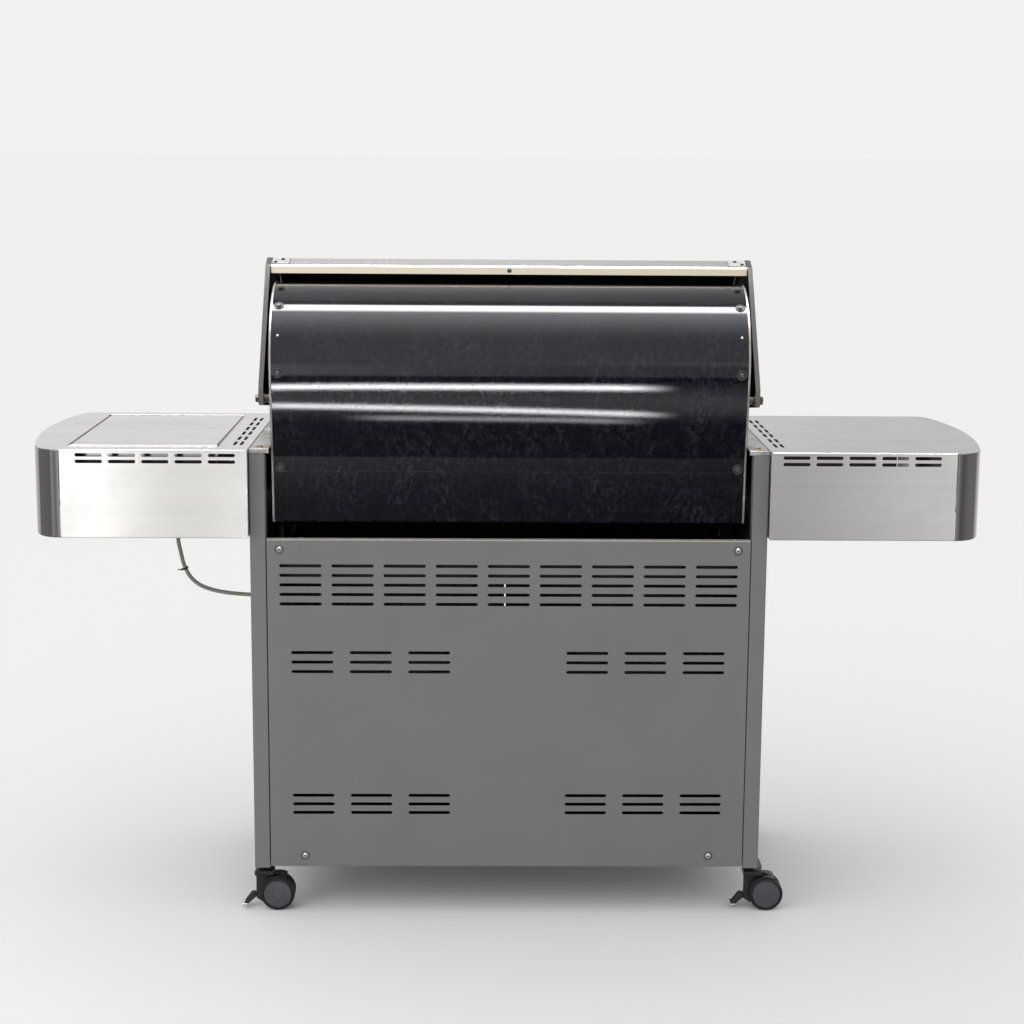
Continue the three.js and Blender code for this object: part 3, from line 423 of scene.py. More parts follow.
def make_camera():
    """A pinhole camera at the photograph's place, turned by its yaw, pitch and roll."""
    yaw, pitch, roll = CAMERA["yaw"], CAMERA["pitch"], CAMERA["roll"]
    forward = Vector((-math.sin(yaw) * math.cos(pitch), -math.cos(yaw) * math.cos(pitch), -math.sin(pitch)))
    right = Vector((-math.cos(yaw), math.sin(yaw), 0))
    down = forward.cross(right)
    right, down = (math.cos(roll) * right + math.sin(roll) * down,
                   -math.sin(roll) * right + math.cos(roll) * down)
    data = bpy.data.cameras.new("camera")
    data.sensor_fit = "HORIZONTAL"
    data.angle = math.radians(CAMERA["fov"])
    data.clip_end = 2000
    camera = bpy.data.objects.new("camera", data)
    turn = Matrix((right, -down, -forward)).transposed().to_4x4()
    camera.matrix_world = Matrix.Translation(mm(*CAMERA["place"])) @ turn
    scene.collection.objects.link(camera)
    scene.camera = camera


def area_light(name, place, look_at, size, radiance):
    """A rectangular light of a given radiance, its first side along x, not seen itself or mirrored."""
    data = bpy.data.lights.new(name, "AREA")
    data.shape = "RECTANGLE"
    data.size, data.size_y = size
    data.energy = radiance * math.pi * size[0] * size[1]
    light = bpy.data.objects.new(name, data)
    back = (Vector(place) - Vector(look_at)).normalized()
    across = (Vector((1, 0, 0)) - back * back.x).normalized()
    turn = Matrix((across, back.cross(across), back)).transposed().to_4x4()
    light.matrix_world = Matrix.Translation(place) @ turn
    light.visible_camera = False
    light.visible_glossy = False
    scene.collection.objects.link(light)


make_camera()


# ------------------------------------------------------------------ materials


class Finish:
    """A Principled material and the procedural fields that shape it, in the piece's own metres."""

    def __init__(self, name, colour, roughness, metallic=0.0, **sockets):
        self.material = bpy.data.materials.new(name)
        self.material.use_nodes = True
        self.tree = self.material.node_tree
        self.shader = self.tree.nodes["Principled BSDF"]
        self.shader.inputs["Base Color"].default_value = (*colour, 1)
        self.shader.inputs["Roughness"].default_value = roughness
        self.shader.inputs["Metallic"].default_value = metallic
        for key, value in sockets.items():
            self.shader.inputs[key.replace("_", " ")].default_value = value
        self.material.diffuse_color = (*colour, 1)
        self.coordinates = self.node("ShaderNodeTexCoord").outputs["Object"]

    def node(self, kind, inputs=None, **settings):
        made = self.tree.nodes.new(kind)
        for key, value in settings.items():
            setattr(made, key, value)
        for key, value in (inputs or {}).items():
            if isinstance(value, bpy.types.NodeSocket):
                self.tree.links.new(value, made.inputs[key])
            else:
                made.inputs[key].default_value = value
        return made

    def grain(self, scale, detail=3.0, roughness=0.55, vector=None):
        """A noise field; scale is cycles per metre, one number or one for each axis."""
        scales = scale if isinstance(scale, tuple) else (scale,) * 3
        stretched = self.node("ShaderNodeMapping", {"Vector": vector or self.coordinates, "Scale": scales})
        field = {"Vector": stretched.outputs[0], "Scale": 1.0, "Detail": detail, "Roughness": roughness}
        return self.node("ShaderNodeTexNoise", field).outputs[0]

    def remap(self, value, low, high, to_low, to_high):
        limits = {"Value": value, "From Min": low, "From Max": high, "To Min": to_low, "To Max": to_high}
        return self.node("ShaderNodeMapRange", limits).outputs[0]

    def maths(self, operation, a, b=0.0):
        return self.node("ShaderNodeMath", {0: a, 1: b}, operation=operation).outputs[0]

    def blend(self, factor, a, b):
        pair = {}
        for key, value in ((6, a), (7, b)):
            pair[key] = value if isinstance(value, bpy.types.NodeSocket) else (*value, 1)
        return self.node("ShaderNodeMix", {0: factor, **pair}, data_type="RGBA").outputs[2]

    def colour(self, value):
        self.tree.links.new(value, self.shader.inputs["Base Color"])
        return self

    def rough(self, value):
        self.tree.links.new(value, self.shader.inputs["Roughness"])
        return self

    def brush_along(self, axis, amount=0.8):
        """Stretches highlights across the brushing, which runs along axis on every face."""
        line = self.node("ShaderNodeCombineXYZ", dict(enumerate(axis))).outputs[0]
        turned = self.node("ShaderNodeVectorTransform", {0: line}, vector_type="VECTOR",
                           convert_from="OBJECT", convert_to="WORLD").outputs[0]
        normal = self.node("ShaderNodeNewGeometry").outputs["Normal"]
        across = self.node("ShaderNodeVectorMath", {0: normal, 1: turned}, operation="CROSS_PRODUCT")
        self.tree.links.new(across.outputs[0], self.shader.inputs["Tangent"])
        self.shader.inputs["Anisotropic"].default_value = amount
        return self

    def bump(self, height, distance, strength=1.0):
        inputs = {"Height": height, "Distance": distance * MM, "Strength": strength}
        made = self.node("ShaderNodeBump", inputs)
        self.tree.links.new(made.outputs[0], self.shader.inputs["Normal"])
        return self


def powder_coat(name, colour, roughness=0.42):
    """Sprayed powder paint: orange peel, and a faint unevenness of tone."""
    made = Finish(name, colour, roughness, Specular_IOR_Level=0.45)
    tone = made.remap(made.grain(7, 4), 0.3, 0.7, 0.0, 1.0)
    darker, lighter = [c * 0.96 for c in colour], [c * 1.04 for c in colour]
    made.colour(made.blend(tone, darker, lighter))
    made.rough(made.remap(made.grain(60, 3), 0.3, 0.7, roughness - 0.05, roughness + 0.06))
    return made.bump(made.grain(620, 2), 0.12, 0.35).material


def brushed(name, colour, roughness, lines, smudge=0.06, depth=0.004, contrast=0.05, axis=None):
    """Brushed sheet. lines is the grain's cycles per metre along each axis, lowest along the brushing."""
    made = Finish(name, colour, roughness, 1.0)
    streaks = made.grain(lines, 4, 0.65)
    broad = made.grain(tuple(s / 12 for s in lines), 2, 0.5)
    hands = made.remap(made.grain(9, 4, 0.6), 0.45, 0.75, 0.0, 1.0)
    darker = [c * (1 - contrast) for c in colour]
    lighter = [min(c * (1 + contrast * 0.6), 1) for c in colour]
    mixed = made.maths("ADD", made.maths("MULTIPLY", streaks, 0.6), made.maths("MULTIPLY", broad, 0.4))
    made.colour(made.blend(made.remap(mixed, 0.35, 0.65, 0.0, 1.0), darker, lighter))
    grainy = made.remap(streaks, 0.3, 0.7, roughness - 0.03, roughness + 0.04)
    made.rough(made.maths("ADD", grainy, made.maths("MULTIPLY", hands, smudge)))
    if axis:
        made.brush_along(axis)
    return made.bump(streaks, depth, 0.5).material


def black_enamel():
    """Vitreous enamel over sheet steel: deep blue-black, glossy, mottled, with dust wiped into streaks."""
    deep, haze = (0.0012, 0.0018, 0.0048), (0.058, 0.063, 0.078)
    made = Finish("black_enamel", deep, 0.03, Specular_IOR_Level=0.5,
                  Specular_Tint=(0.97, 0.98, 1.02, 1), Coat_Weight=0.10, Coat_Roughness=0.25, Coat_IOR=1.5)
    mottle = made.remap(made.grain((130, 130, 80), 5, 0.75), 0.44, 0.72, 0.0, 1.0)
    cloud = made.remap(made.grain((12, 12, 7), 5, 0.7), 0.38, 0.66, 0.12, 1.0)
    wiped = made.remap(made.grain((700, 700, 22), 3, 0.6), 0.60, 0.72, 0.0, 1.0)
    veil = made.maths("MULTIPLY", made.maths("MULTIPLY", mottle, cloud), 0.55)
    marks = made.maths("MULTIPLY", made.maths("MULTIPLY", wiped, cloud), 0.30)
    made.colour(made.blend(made.maths("ADD", veil, marks), deep, haze))
    made.rough(made.remap(made.maths("MULTIPLY", mottle, cloud), 0.0, 1.0, 0.014, 0.040))
    peel = made.bump(made.grain(700, 2, 0.6), 0.0055, 1.0).shader.inputs["Normal"].links[0].from_socket
    made.tree.links.new(peel, made.shader.inputs["Coat Normal"])
    return made.material


def aluminised():
    """Aluminised steel, browned by heat and fat in patches."""
    made = Finish("aluminised_steel", (0.50, 0.50, 0.50), 0.42, 0.9)
    stain = made.remap(made.grain((16, 22, 9), 5, 0.62), 0.44, 0.70, 0.0, 1.0)
    fleck = made.remap(made.grain(170, 3), 0.42, 0.62, 0.0, 1.0)
    metal = made.blend(fleck, (0.45, 0.455, 0.46), (0.57, 0.575, 0.58))
    made.colour(made.blend(made.maths("MULTIPLY", stain, 0.75), metal, (0.30, 0.21, 0.12)))
    made.rough(made.remap(stain, 0.0, 1.0, 0.36, 0.60))
    return made.bump(made.grain(260, 3), 0.05, 0.4).material


def rough_cast(name, colour, roughness):
    made = Finish(name, colour, roughness, 0.15)
    made.colour(made.blend(made.grain(40, 4), [c * 0.7 for c in colour], [c * 1.5 for c in colour]))
    made.rough(made.remap(made.grain(90, 3), 0.3, 0.7, roughness - 0.1, roughness + 0.1))
    return made.bump(made.grain(420, 4), 0.18, 0.6).material


def moulded(name, colour, roughness, texture=0.05):
    """Moulded plastic or rubber with a fine spark texture and some dust."""
    made = Finish(name, colour, roughness, Specular_IOR_Level=0.45)
    dust = made.remap(made.grain(26, 5, 0.7), 0.45, 0.8, 0.0, 0.5)
    made.colour(made.blend(dust, colour, [c * 1.35 + 0.006 for c in colour]))
    made.rough(made.remap(made.grain(70, 3), 0.3, 0.7, roughness - 0.06, roughness + 0.08))
    return made.bump(made.grain(900, 2), texture, 0.4).material


def plated(name, colour, roughness, patch=0.05):
    """Chrome, zinc or brass: bright metal with a little unevenness."""
    made = Finish(name, colour, roughness, 1.0)
    field = made.grain(55, 4)
    made.colour(made.blend(field, [c * 0.88 for c in colour], [min(c * 1.08, 1) for c in colour]))
    made.rough(made.remap(field, 0.3, 0.75, max(roughness - patch, 0.05), roughness + patch))
    return made.bump(made.grain(300, 2), 0.015, 0.4).material


BRAID_WEAVE = {"lay": 0.0066, "bundles": 6, "wires": 5}


def braid():
    """Crossed bundles of stainless wire on a hose. u runs along it in metres, v once around it."""
    made = Finish("braided_hose", (0.52, 0.51, 0.48), 0.42, 0.75)
    uv = made.node("ShaderNodeUVMap", uv_map="UVMap").outputs[0]
    split = made.node("ShaderNodeSeparateXYZ", {0: uv})
    along = made.maths("MULTIPLY", split.outputs[0], 2 * math.pi / BRAID_WEAVE["lay"])
    around = made.maths("MULTIPLY", split.outputs[1], 2 * math.pi * BRAID_WEAVE["bundles"])
    one = made.maths("SINE", made.maths("ADD", along, around))
    two = made.maths("SINE", made.maths("SUBTRACT", along, around))
    weave = made.maths("MULTIPLY", one, two)
    finer = made.maths("MULTIPLY", made.maths("ADD", along, around), BRAID_WEAVE["wires"])
    wires = made.maths("SINE", finer)
    height = made.maths("ADD", weave, made.maths("MULTIPLY", wires, 0.25))
    shade = made.remap(height, -0.9, 0.8, 0.0, 1.0)
    tint = made.remap(made.grain(45, 3), 0.4, 0.65, 0.0, 1.0)
    wire = made.blend(tint, (0.86, 0.86, 0.85), (0.84, 0.74, 0.52))
    made.colour(made.blend(shade, (0.20, 0.19, 0.18), wire))
    return made.bump(height, 0.35, 0.8).material


GREY_PAINT = powder_coat("grey_paint", (0.172, 0.174, 0.175))
# A light beige for the rear panel's upper lip: a painted highlight for the light the lip catches from above.
LIP_PAINTED_HIGHLIGHT = powder_coat("painted_highlight_lip_paint", (0.40, 0.375, 0.33))
STAINLESS = brushed("stainless", (0.63, 0.627, 0.612), 0.14, (6.0, 620, 620), axis=(1, 0, 0))
STAINLESS_UP = brushed("stainless_upright", (0.66, 0.655, 0.64), 0.20, (620, 620, 6.0), axis=(0, 0, 1))
WARM_EDGE = brushed("warm_stainless", (0.90, 0.81, 0.65), 0.30, (2.0, 620, 620), smudge=0.0, depth=0.0,
                    contrast=0.08)
DARK_STAINLESS = brushed("dark_stainless", (0.37, 0.365, 0.36), 0.13, (300, 300, 3.0), depth=0.01,
                         contrast=0.2)
# Dark steel: grease on the hopper and the grease tray, and painted shade inside the shelves, on the lid's
# edges and where the rear slots look into the cart.
GREASE_AND_SHADE_STEEL = brushed("grease_and_painted_shade_steel", (0.075, 0.068, 0.058), 0.42, (6.0, 240, 240))
# Dark steel for the doors' backs: painted shade inside the cart.
DOOR_BACK_SHADE_STEEL = brushed("painted_shade_door_back_steel", (0.20, 0.20, 0.195), 0.36, (240, 240, 6.0))
SOOT = rough_cast("sooty_steel", (0.010, 0.009, 0.008), 0.55)
ENAMEL = black_enamel()
ALUMINISED = aluminised()
CAST_IRON = rough_cast("cast_iron", (0.022, 0.021, 0.020), 0.62)
CHROME = plated("chrome", (0.72, 0.72, 0.71), 0.13)
ZINC = plated("zinc_screw", (0.80, 0.80, 0.79), 0.40)
BRIGHT_SCREW = Finish("bright_screw", (0.60, 0.60, 0.59), 0.33, 0.6).material
BOLT_STEEL = Finish("bolt_steel", (0.10, 0.105, 0.115), 0.40, 0.35).material
# Blackened steel for dark screws and bolts, also used as painted shade in the screw recesses and washer
# hollows of the rear.
BLACKENED_SCREW_AND_SHADE = plated("blackened_screw_and_painted_shade", (0.055, 0.052, 0.050), 0.35)
PIVOT_STEEL = plated("browned_bolt", (0.11, 0.095, 0.080), 0.42)
YELLOW_ZINC = plated("yellow_zinc", (0.30, 0.235, 0.125), 0.42)
BRASS = plated("brass", (0.62, 0.44, 0.19), 0.30)
BLACK_PLASTIC = moulded("black_plastic", (0.016, 0.016, 0.017), 0.42)
WHEEL_FACE = moulded("wheel_face", (0.060, 0.063, 0.071), 0.36)
RUBBER = moulded("rubber_tread", (0.013, 0.013, 0.0135), 0.70, 0.10)
TIE_BROWN = moulded("cable_tie", (0.035, 0.020, 0.012), 0.50)
CAP_GREY = powder_coat("cap_grey", (0.115, 0.110, 0.100), 0.38)
BRAID = braid()
WHITE_PRINT = Finish("white_print", (0.75, 0.75, 0.73), 0.45).material
DIAL_FACE = Finish("dial_face", (0.70, 0.70, 0.66), 0.40).material
DIAL_INK = Finish("dial_ink", (0.02, 0.02, 0.02), 0.45).material
NEEDLE_RED = Finish("needle_red", (0.45, 0.02, 0.015), 0.35).material
GLASS = Finish("dial_glass", (1, 1, 1), 0.02, Transmission_Weight=1.0, IOR=1.45).material

# ------------------------------------------------------------------ plates and fasteners


def punched(outline, holes, thickness, edge=0.35):
    """A flat plate in its own xy plane with holes and slightly rounded edges, centred on its thickness."""
    curve = bpy.data.curves.new("punched", "CURVE")
    curve.dimensions = "2D"
    curve.fill_mode = "BOTH"
    curve.extrude = (thickness / 2 - edge) * MM
    curve.bevel_depth = edge * MM
    curve.bevel_resolution = 1
    curve.offset = -edge * MM
    for line in (outline, *holes):
        spline = curve.splines.new("POLY")
        spline.points.add(len(line) - 1)
        for point, (x, y) in zip(spline.points, line):
            point.co = (x * MM, y * MM, 0, 1)
        spline.use_cyclic_u = True
    ob = bpy.data.objects.new("punched", curve)
    scene.collection.objects.link(ob)
    graph = bpy.context.evaluated_depsgraph_get()
    mesh = bpy.data.meshes.new_from_object(ob.evaluated_get(graph))
    bpy.data.objects.remove(ob)
    bm = bmesh.new()
    bm.from_mesh(mesh)
    bmesh.ops.remove_doubles(bm, verts=bm.verts, dist=2e-6)
    return bm_to_mesh(bm, "punched")


def upright(depth):
    """Stands a plate's xy plane up as (x, height), its middle at a depth."""
    return Matrix(((1, 0, 0, 0), (0, 0, -1, to_y(depth)), (0, 1, 0, 0), (0, 0, 0, 1)))


def flat(height):
    """Lays a plate's xy plane down as (x, depth), its middle at a height."""
    return Matrix(((1, 0, 0, 0), (0, -1, 0, REAR_Y * MM), (0, 0, -1, height * MM), (0, 0, 0, 1)))


def sideways(x):
    """Turns a plate's xy plane to (depth, height), its middle at an x."""
    return Matrix(((0, 0, 1, x * MM), (-1, 0, 0, REAR_Y * MM), (0, 1, 0, 0), (0, 0, 0, 1)))


def rectangle(x0, x1, y0, y1, corner=0.0):
    """A rectangle's outline, with rounded corners if corner is given."""
    if not corner:
        return [(x0, y0), (x1, y0), (x1, y1), (x0, y1)]
    c = corner
    return (arc(x1 - c, y0 + c, c, -90, 0, 5) + arc(x1 - c, y1 - c, c, 0, 90, 5)
            + arc(x0 + c, y1 - c, c, 90, 180, 5) + arc(x0 + c, y0 + c, c, 180, 270, 5))


def pan_screw(radius):
    """A domed head with a round dimple, standing on z = 0."""
    r = radius
    return lathe([(0, 0.12 * r), (0.22 * r, 0.18 * r), (0.36 * r, 0.50 * r), (0.44 * r, 0.54 * r),
                  (0.7 * r, 0.42 * r), (0.93 * r, 0.22 * r), (r, 0.08 * r), (r, -0.2), (0, -0.2)], 28)


def hex_bolt(radius, washer):
    """A hexagon head on a round washer, standing on z = 0."""
    r = radius
    ring = lathe([(0, 0.9), (washer - 0.4, 0.9), (washer, 0.5), (washer, -0.2), (0, -0.2)], 36)
    head = lathe([(0, 0.78 * r), (0.86 * r, 0.78 * r), (r, 0.62 * r), (r, 0.5), (0, 0.5)], 6)
    dish = lathe([(0, 0.70 * r), (0.5 * r, 0.72 * r), (0.62 * r, 0.84 * r), (0, 0.84 * r)], 20)
    return merged(plain(ring), plain(cut(head, dish)))


def rivet(radius):
    """A domed rivet head, standing on z = 0."""
    r = radius
    return lathe([(0, 0.42 * r), (0.4 * r, 0.38 * r), (0.8 * r, 0.2 * r), (r, 0.02), (r, -0.2),
                  (0, -0.2)], 28)


def washer_ring(outer, inner, thickness):
    """A flat washer with an eased outer edge, lying on z = 0."""
    o, i, t = outer, inner, thickness
    return lathe([(i, 0), (i, t), (o - 0.2, t), (o, t - 0.2), (o, -0.2), (i, -0.2), (i, 0)], 32)


# ------------------------------------------------------------------ gas hose, the first piece


def even_steps(points, step):
    """Points at even distances along a line of points."""
    out = []
    travelled, target = 0.0, 0.0
    for a, b in zip(points, points[1:]):
        length = (b - a).length
        while target <= travelled + length:
            out.append(a.lerp(b, (target - travelled) / length))
            target += step
        travelled += length
    return out + [points[-1]]


def cable_tie(line):
    """A brown tie around the hose's line: a ribbed band, its head and its cut tail."""
    index = int(CABLE_TIE["along"] / HOSE_STEP)
    spot, ahead = line[index], (line[index + 1] - line[index - 1]).normalized()
    angles = [2 * math.pi * k / 28 for k in range(28)]
    side = Vector((0, 1, 0))
    up = ahead.cross(side).normalized()
    if up.x < 0:
        up = -up
    ring = [spot + (side * math.cos(a) + up * math.sin(a)) * mm(CABLE_TIE["radius"]) for a in angles]
    band = [plain(tube([p + ahead * mm(s) for p in ring], mm(CABLE_TIE["strand"]), 8, closed=True))
            for s in (-1.0, 0.0, 1.0)]
    head = block(CABLE_TIE["head"], 0.6)
    head_place = aim(spot + up * mm(CABLE_TIE["radius"] + 1.2), ahead)
    tail_start = spot + up * mm(CABLE_TIE["radius"] + 1.5)
    tail = smooth_line([tail_start, tail_start + up * mm(4) + Vector((0, 0.001, 0.001)),
                        tail_start + up * mm(CABLE_TIE["tail"]) + Vector((0, 0.002, 0.004))], 5)
    mesh = merged(*band, (head, head_place), plain(tube(tail, mm(CABLE_TIE["tail_radius"]), 8)))
    return piece("cable_tie", mesh, TIE_BROWN, "cart", "black_plastic")


def gas_hose():
    """The braided hose from the side burner's valve to the manifold, held at both ends."""
    line = even_steps(smooth_line([at(*p) for p in HOSE_ROUTE], 8), HOSE_STEP)
    mesh = tube(line, mm(HOSE_RADIUS), 20)
    hose = piece("gas_hose_braid", mesh, BRAID, "cart", "braided_hose", ["gas_hose"], 60)
    tie = cable_tie(line)


gas_hose()

# ------------------------------------------------------------------ cart

CART = {"half": 490, "depth": 520, "bottom": 92, "top": 906, "fold": 30, "lip": 25, "bend": 2.6}
FOOT = {"wide": 29, "long": 62, "inset": 0.5, "thick": 3}
REAR_PANEL = {"half": 458.5, "bottom": 95, "top": 743, "flange": 14, "bend": 2.4}
RUNNER = {"inner": 436, "near": 320, "far": 515, "top": 654.7, "sheet": 2}
PANEL = {"half": 488, "near": 522, "far": 560, "bottom": 745, "top": 915}
HOSE_HOLE = {"depth": 245, "height": 581, "radius": 8}


def cart_side(name, side):
    """A folded side with a notch for the control panel, two feet, a drawer runner and the hose's hole."""
    half, fold, lip, far = CART["half"], CART["fold"], CART["lip"], CART["depth"]
    line = [(side * x, d) for x, d in ((half - fold, lip), (half - fold, 0), (half, 0), (half, far),
                                       (half - fold, far), (half - fold, far - lip))]
    section = sheet_loop(fillet(line, CART["bend"]), side * SHEET)
    skin = prism(section, CART["bottom"], CART["top"], along_z)
    notch = block((fold - SHEET + 2, lip + 3, 200))
    x = side * (half - SHEET - (fold - SHEET + 2) / 2)
    notch_place = Matrix.Translation(at(x, far - (lip + 1) / 2 + 0.5, PANEL["bottom"] + 100))
    holes = [(notch, notch_place)]
    if side > 0:
        bore = rod(HOSE_HOLE["radius"], -20, 20, 32)
        holes.append((bore, aim(at(half, HOSE_HOLE["depth"], HOSE_HOLE["height"]), (1, 0, 0))))
    skin = cut(skin, merged(*holes))
    inset, long, thick = FOOT["inset"], FOOT["long"], FOOT["thick"]
    low, high = sorted((side * (half - FOOT["wide"] - inset), side * (half - inset)))
    foot = punched(rectangle(low, high, 0, long, 4), [], thick)
    feet = [(foot, flat(CART["bottom"] + thick / 2) @ Matrix.Translation((0, mm(d), 0)))
            for d in (inset, far - long - inset)]
    low, high = sorted((side * RUNNER["inner"], side * (half - inset)))
    runner = punched(rectangle(low, high, RUNNER["near"], RUNNER["far"], 3), [], RUNNER["sheet"])
    runner_place = flat(RUNNER["top"] - RUNNER["sheet"] / 2)
    mesh = merged(plain(skin), *feet, (runner, runner_place))
    piece(f"cart_side_sheet_{name}", mesh, GREY_PAINT, "cart", "grey_paint", [f"cart_side_{name}"], 40)


def rear_slots():
    """Outlines of the rear panel's ventilation slots: the wide field, and the groups at both sides."""
    places = []
    field = SLOT_FIELD
    for x in spread(field["columns"], field["pitch"]):
        places += [(x, field["top"] - row * field["drop"]) for row in range(field["rows"])]
    for x in [sign * c for _, sign in SIDES for c in SLOT_GROUPS["columns"]]:
        for top, drop in SLOT_GROUPS["tops"]:
            places += [(x, top - row * drop) for row in range(SLOT_GROUPS["rows"])]
    return [slot_outline(x, z, SLOT["length"], SLOT["height"]) for x, z in places]


def rear_panel():
    """The slotted rear panel, and its upper lip as a piece of its own, painted lighter as a painted
    highlight.
    """
    half, bottom, top, flange, turn = REAR_PANEL.values()
    face = punched(rectangle(-half, half, bottom + turn, top - turn), rear_slots(), SHEET)
    upper = sheet_loop(fillet([(0, top - turn), (0, top), (flange, top)], turn, 6), -SHEET)
    lower = sheet_loop(fillet([(flange, bottom), (0, bottom), (0, bottom + turn)], turn, 6), -SHEET)
    mesh = merged((face, upright(SHEET / 2)), plain(prism(lower, -half, half, along_x)))
    piece("rear_panel_sheet", mesh, GREY_PAINT, "cart", "grey_paint", ["rear_panel"], 40)
    # The lip's lighter paint is a painted highlight.
    piece("rear_panel_lip", prism(upper, -half, half, along_x), LIP_PAINTED_HIGHLIGHT, "cart", "grey_paint", (), 40)


for side_name, side_sign in SIDES:
    cart_side(side_name, side_sign)
rear_panel()
dress("bottom_shelf", GREY_PAINT, 1.0)
dress("hose_grommet", BLACK_PLASTIC, 0.6)

# ------------------------------------------------------------------ firebox

FIREBOX = {"half": 452.3, "plate": 4, "bottom": 766, "front": 505, "front_top": 912, "lip": 8.4, "rear": 2,
           "inner_ledges": (866.3, 896), "ledge_reach": 84, "bend": 2.2}
END_FRONT = (((250, 1203), (330, 1175), (395, 1060), (425, 960)), ((425, 960), (435, 925), (470, 912)))
LAP = {"height": 893, "depth": 47, "foot_depth": 58, "tilt": 10.4, "knee_tilt": 7.2}
CROWN_ARC = {"depth": 172, "height": 1066, "radius": 150, "end": 77.7}
INSET = 1.2       # of the rear sheets behind the end plates' edges
SHEET_GAP = 0.3   # between pieces of sheet that lie on each other
RIPPLE = {"size": 0.022, "cycles": 0.006, "seed": 3.1}


def bezier(points, steps):
    """Points on a Bezier curve of any degree."""
    out = []
    for i in range(steps + 1):
        line = [Vector(p) for p in points]
        while len(line) > 1:
            line = [a.lerp(b, i / steps) for a, b in zip(line, line[1:])]
        out.append(tuple(line[0]))
    return out


def leaning(tilt):
    """The upward direction of a sheet that leans to the rear by a tilt in degrees, as (depth, height)."""
    return Vector((-math.sin(math.radians(tilt)), math.cos(math.radians(tilt))))


def rear_profile(inset, from_height, steps=56):
    """The firebox's rear edge from a height up to the crown, as (depth, height)."""
    slope = (LAP["foot_depth"] - LAP["depth"]) / (LAP["height"] - FIREBOX["bottom"])
    line = [(LAP["depth"] + slope * (LAP["height"] - from_height), from_height)]
    if from_height < LAP["height"]:
        line.append((LAP["depth"], LAP["height"]))
    crown = arc(CROWN_ARC["depth"], CROWN_ARC["height"], CROWN_ARC["radius"],
                180 + LAP["knee_tilt"], CROWN_ARC["end"], steps)
    lap, knee = Vector(line[-1]), Vector(crown[0])
    up, down = leaning(LAP["tilt"]), -leaning(LAP["knee_tilt"])
    reach = (knee - lap).cross(down) / up.cross(down)
    bow = bezier((lap, lap + up * reach, knee), 18)[1:]
    return offset(line + bow + crown[1:], -inset)


def wavy(u, v, w):
    """Enamelled sheet never comes out quite flat: along_x with a slow ripple in its depth."""
    field = Vector((w * RIPPLE["cycles"], v * RIPPLE["cycles"], RIPPLE["seed"]))
    ripple = noise.noise(field) * RIPPLE["size"]
    return at(w, u + ripple, v)


def back_panels():
    """The upper and the lower enamelled sheet. The lower one has a notched foot and two ledges inside."""
    inner = FIREBOX["half"] - FIREBOX["plate"] - SHEET_GAP
    upper = sheet_loop(rear_profile(INSET, LAP["height"]), -SHEET)
    mesh = prism(upper, -inner, inner, wavy, cuts=48)
    piece("back_upper_sheet", mesh, ENAMEL, "cart", "black_enamel", ["back_panel_upper"], 40)
    inset = INSET + SHEET + SHEET_GAP
    slope = (LAP["foot_depth"] - LAP["depth"]) / (LAP["height"] - FIREBOX["bottom"])
    line = [(LAP["foot_depth"] + inset, FIREBOX["bottom"]), (LAP["depth"] + inset, LAP["height"]),
            (LAP["depth"] + inset - slope * 3, LAP["height"] + 8)]
    lower = prism(sheet_loop(line, -SHEET), -inner, inner, wavy, cuts=48)
    bite = rod(NOTCH["radius"], -30, 30, 16)
    count = int(2 * inner / NOTCH["pitch"]) + 1
    bites = stamp(bite, [aim(at(x, LAP["foot_depth"] + 4, FIREBOX["bottom"]), (0, 1, 0))
                         for x in spread(count, NOTCH["pitch"])])
    lower = cut(lower, bites)
    outline = rectangle(-inner, inner, LAP["depth"] + inset + 1, FIREBOX["ledge_reach"])
    ledge = punched(outline, [], SHEET)
    ledges = [(ledge, flat(z - 0.6 - SHEET / 2)) for z in FIREBOX["inner_ledges"]]
    piece("back_lower_sheet", merged(plain(lower), *ledges), ENAMEL, "cart", "black_enamel",
          ["back_panel_lower"], 40)


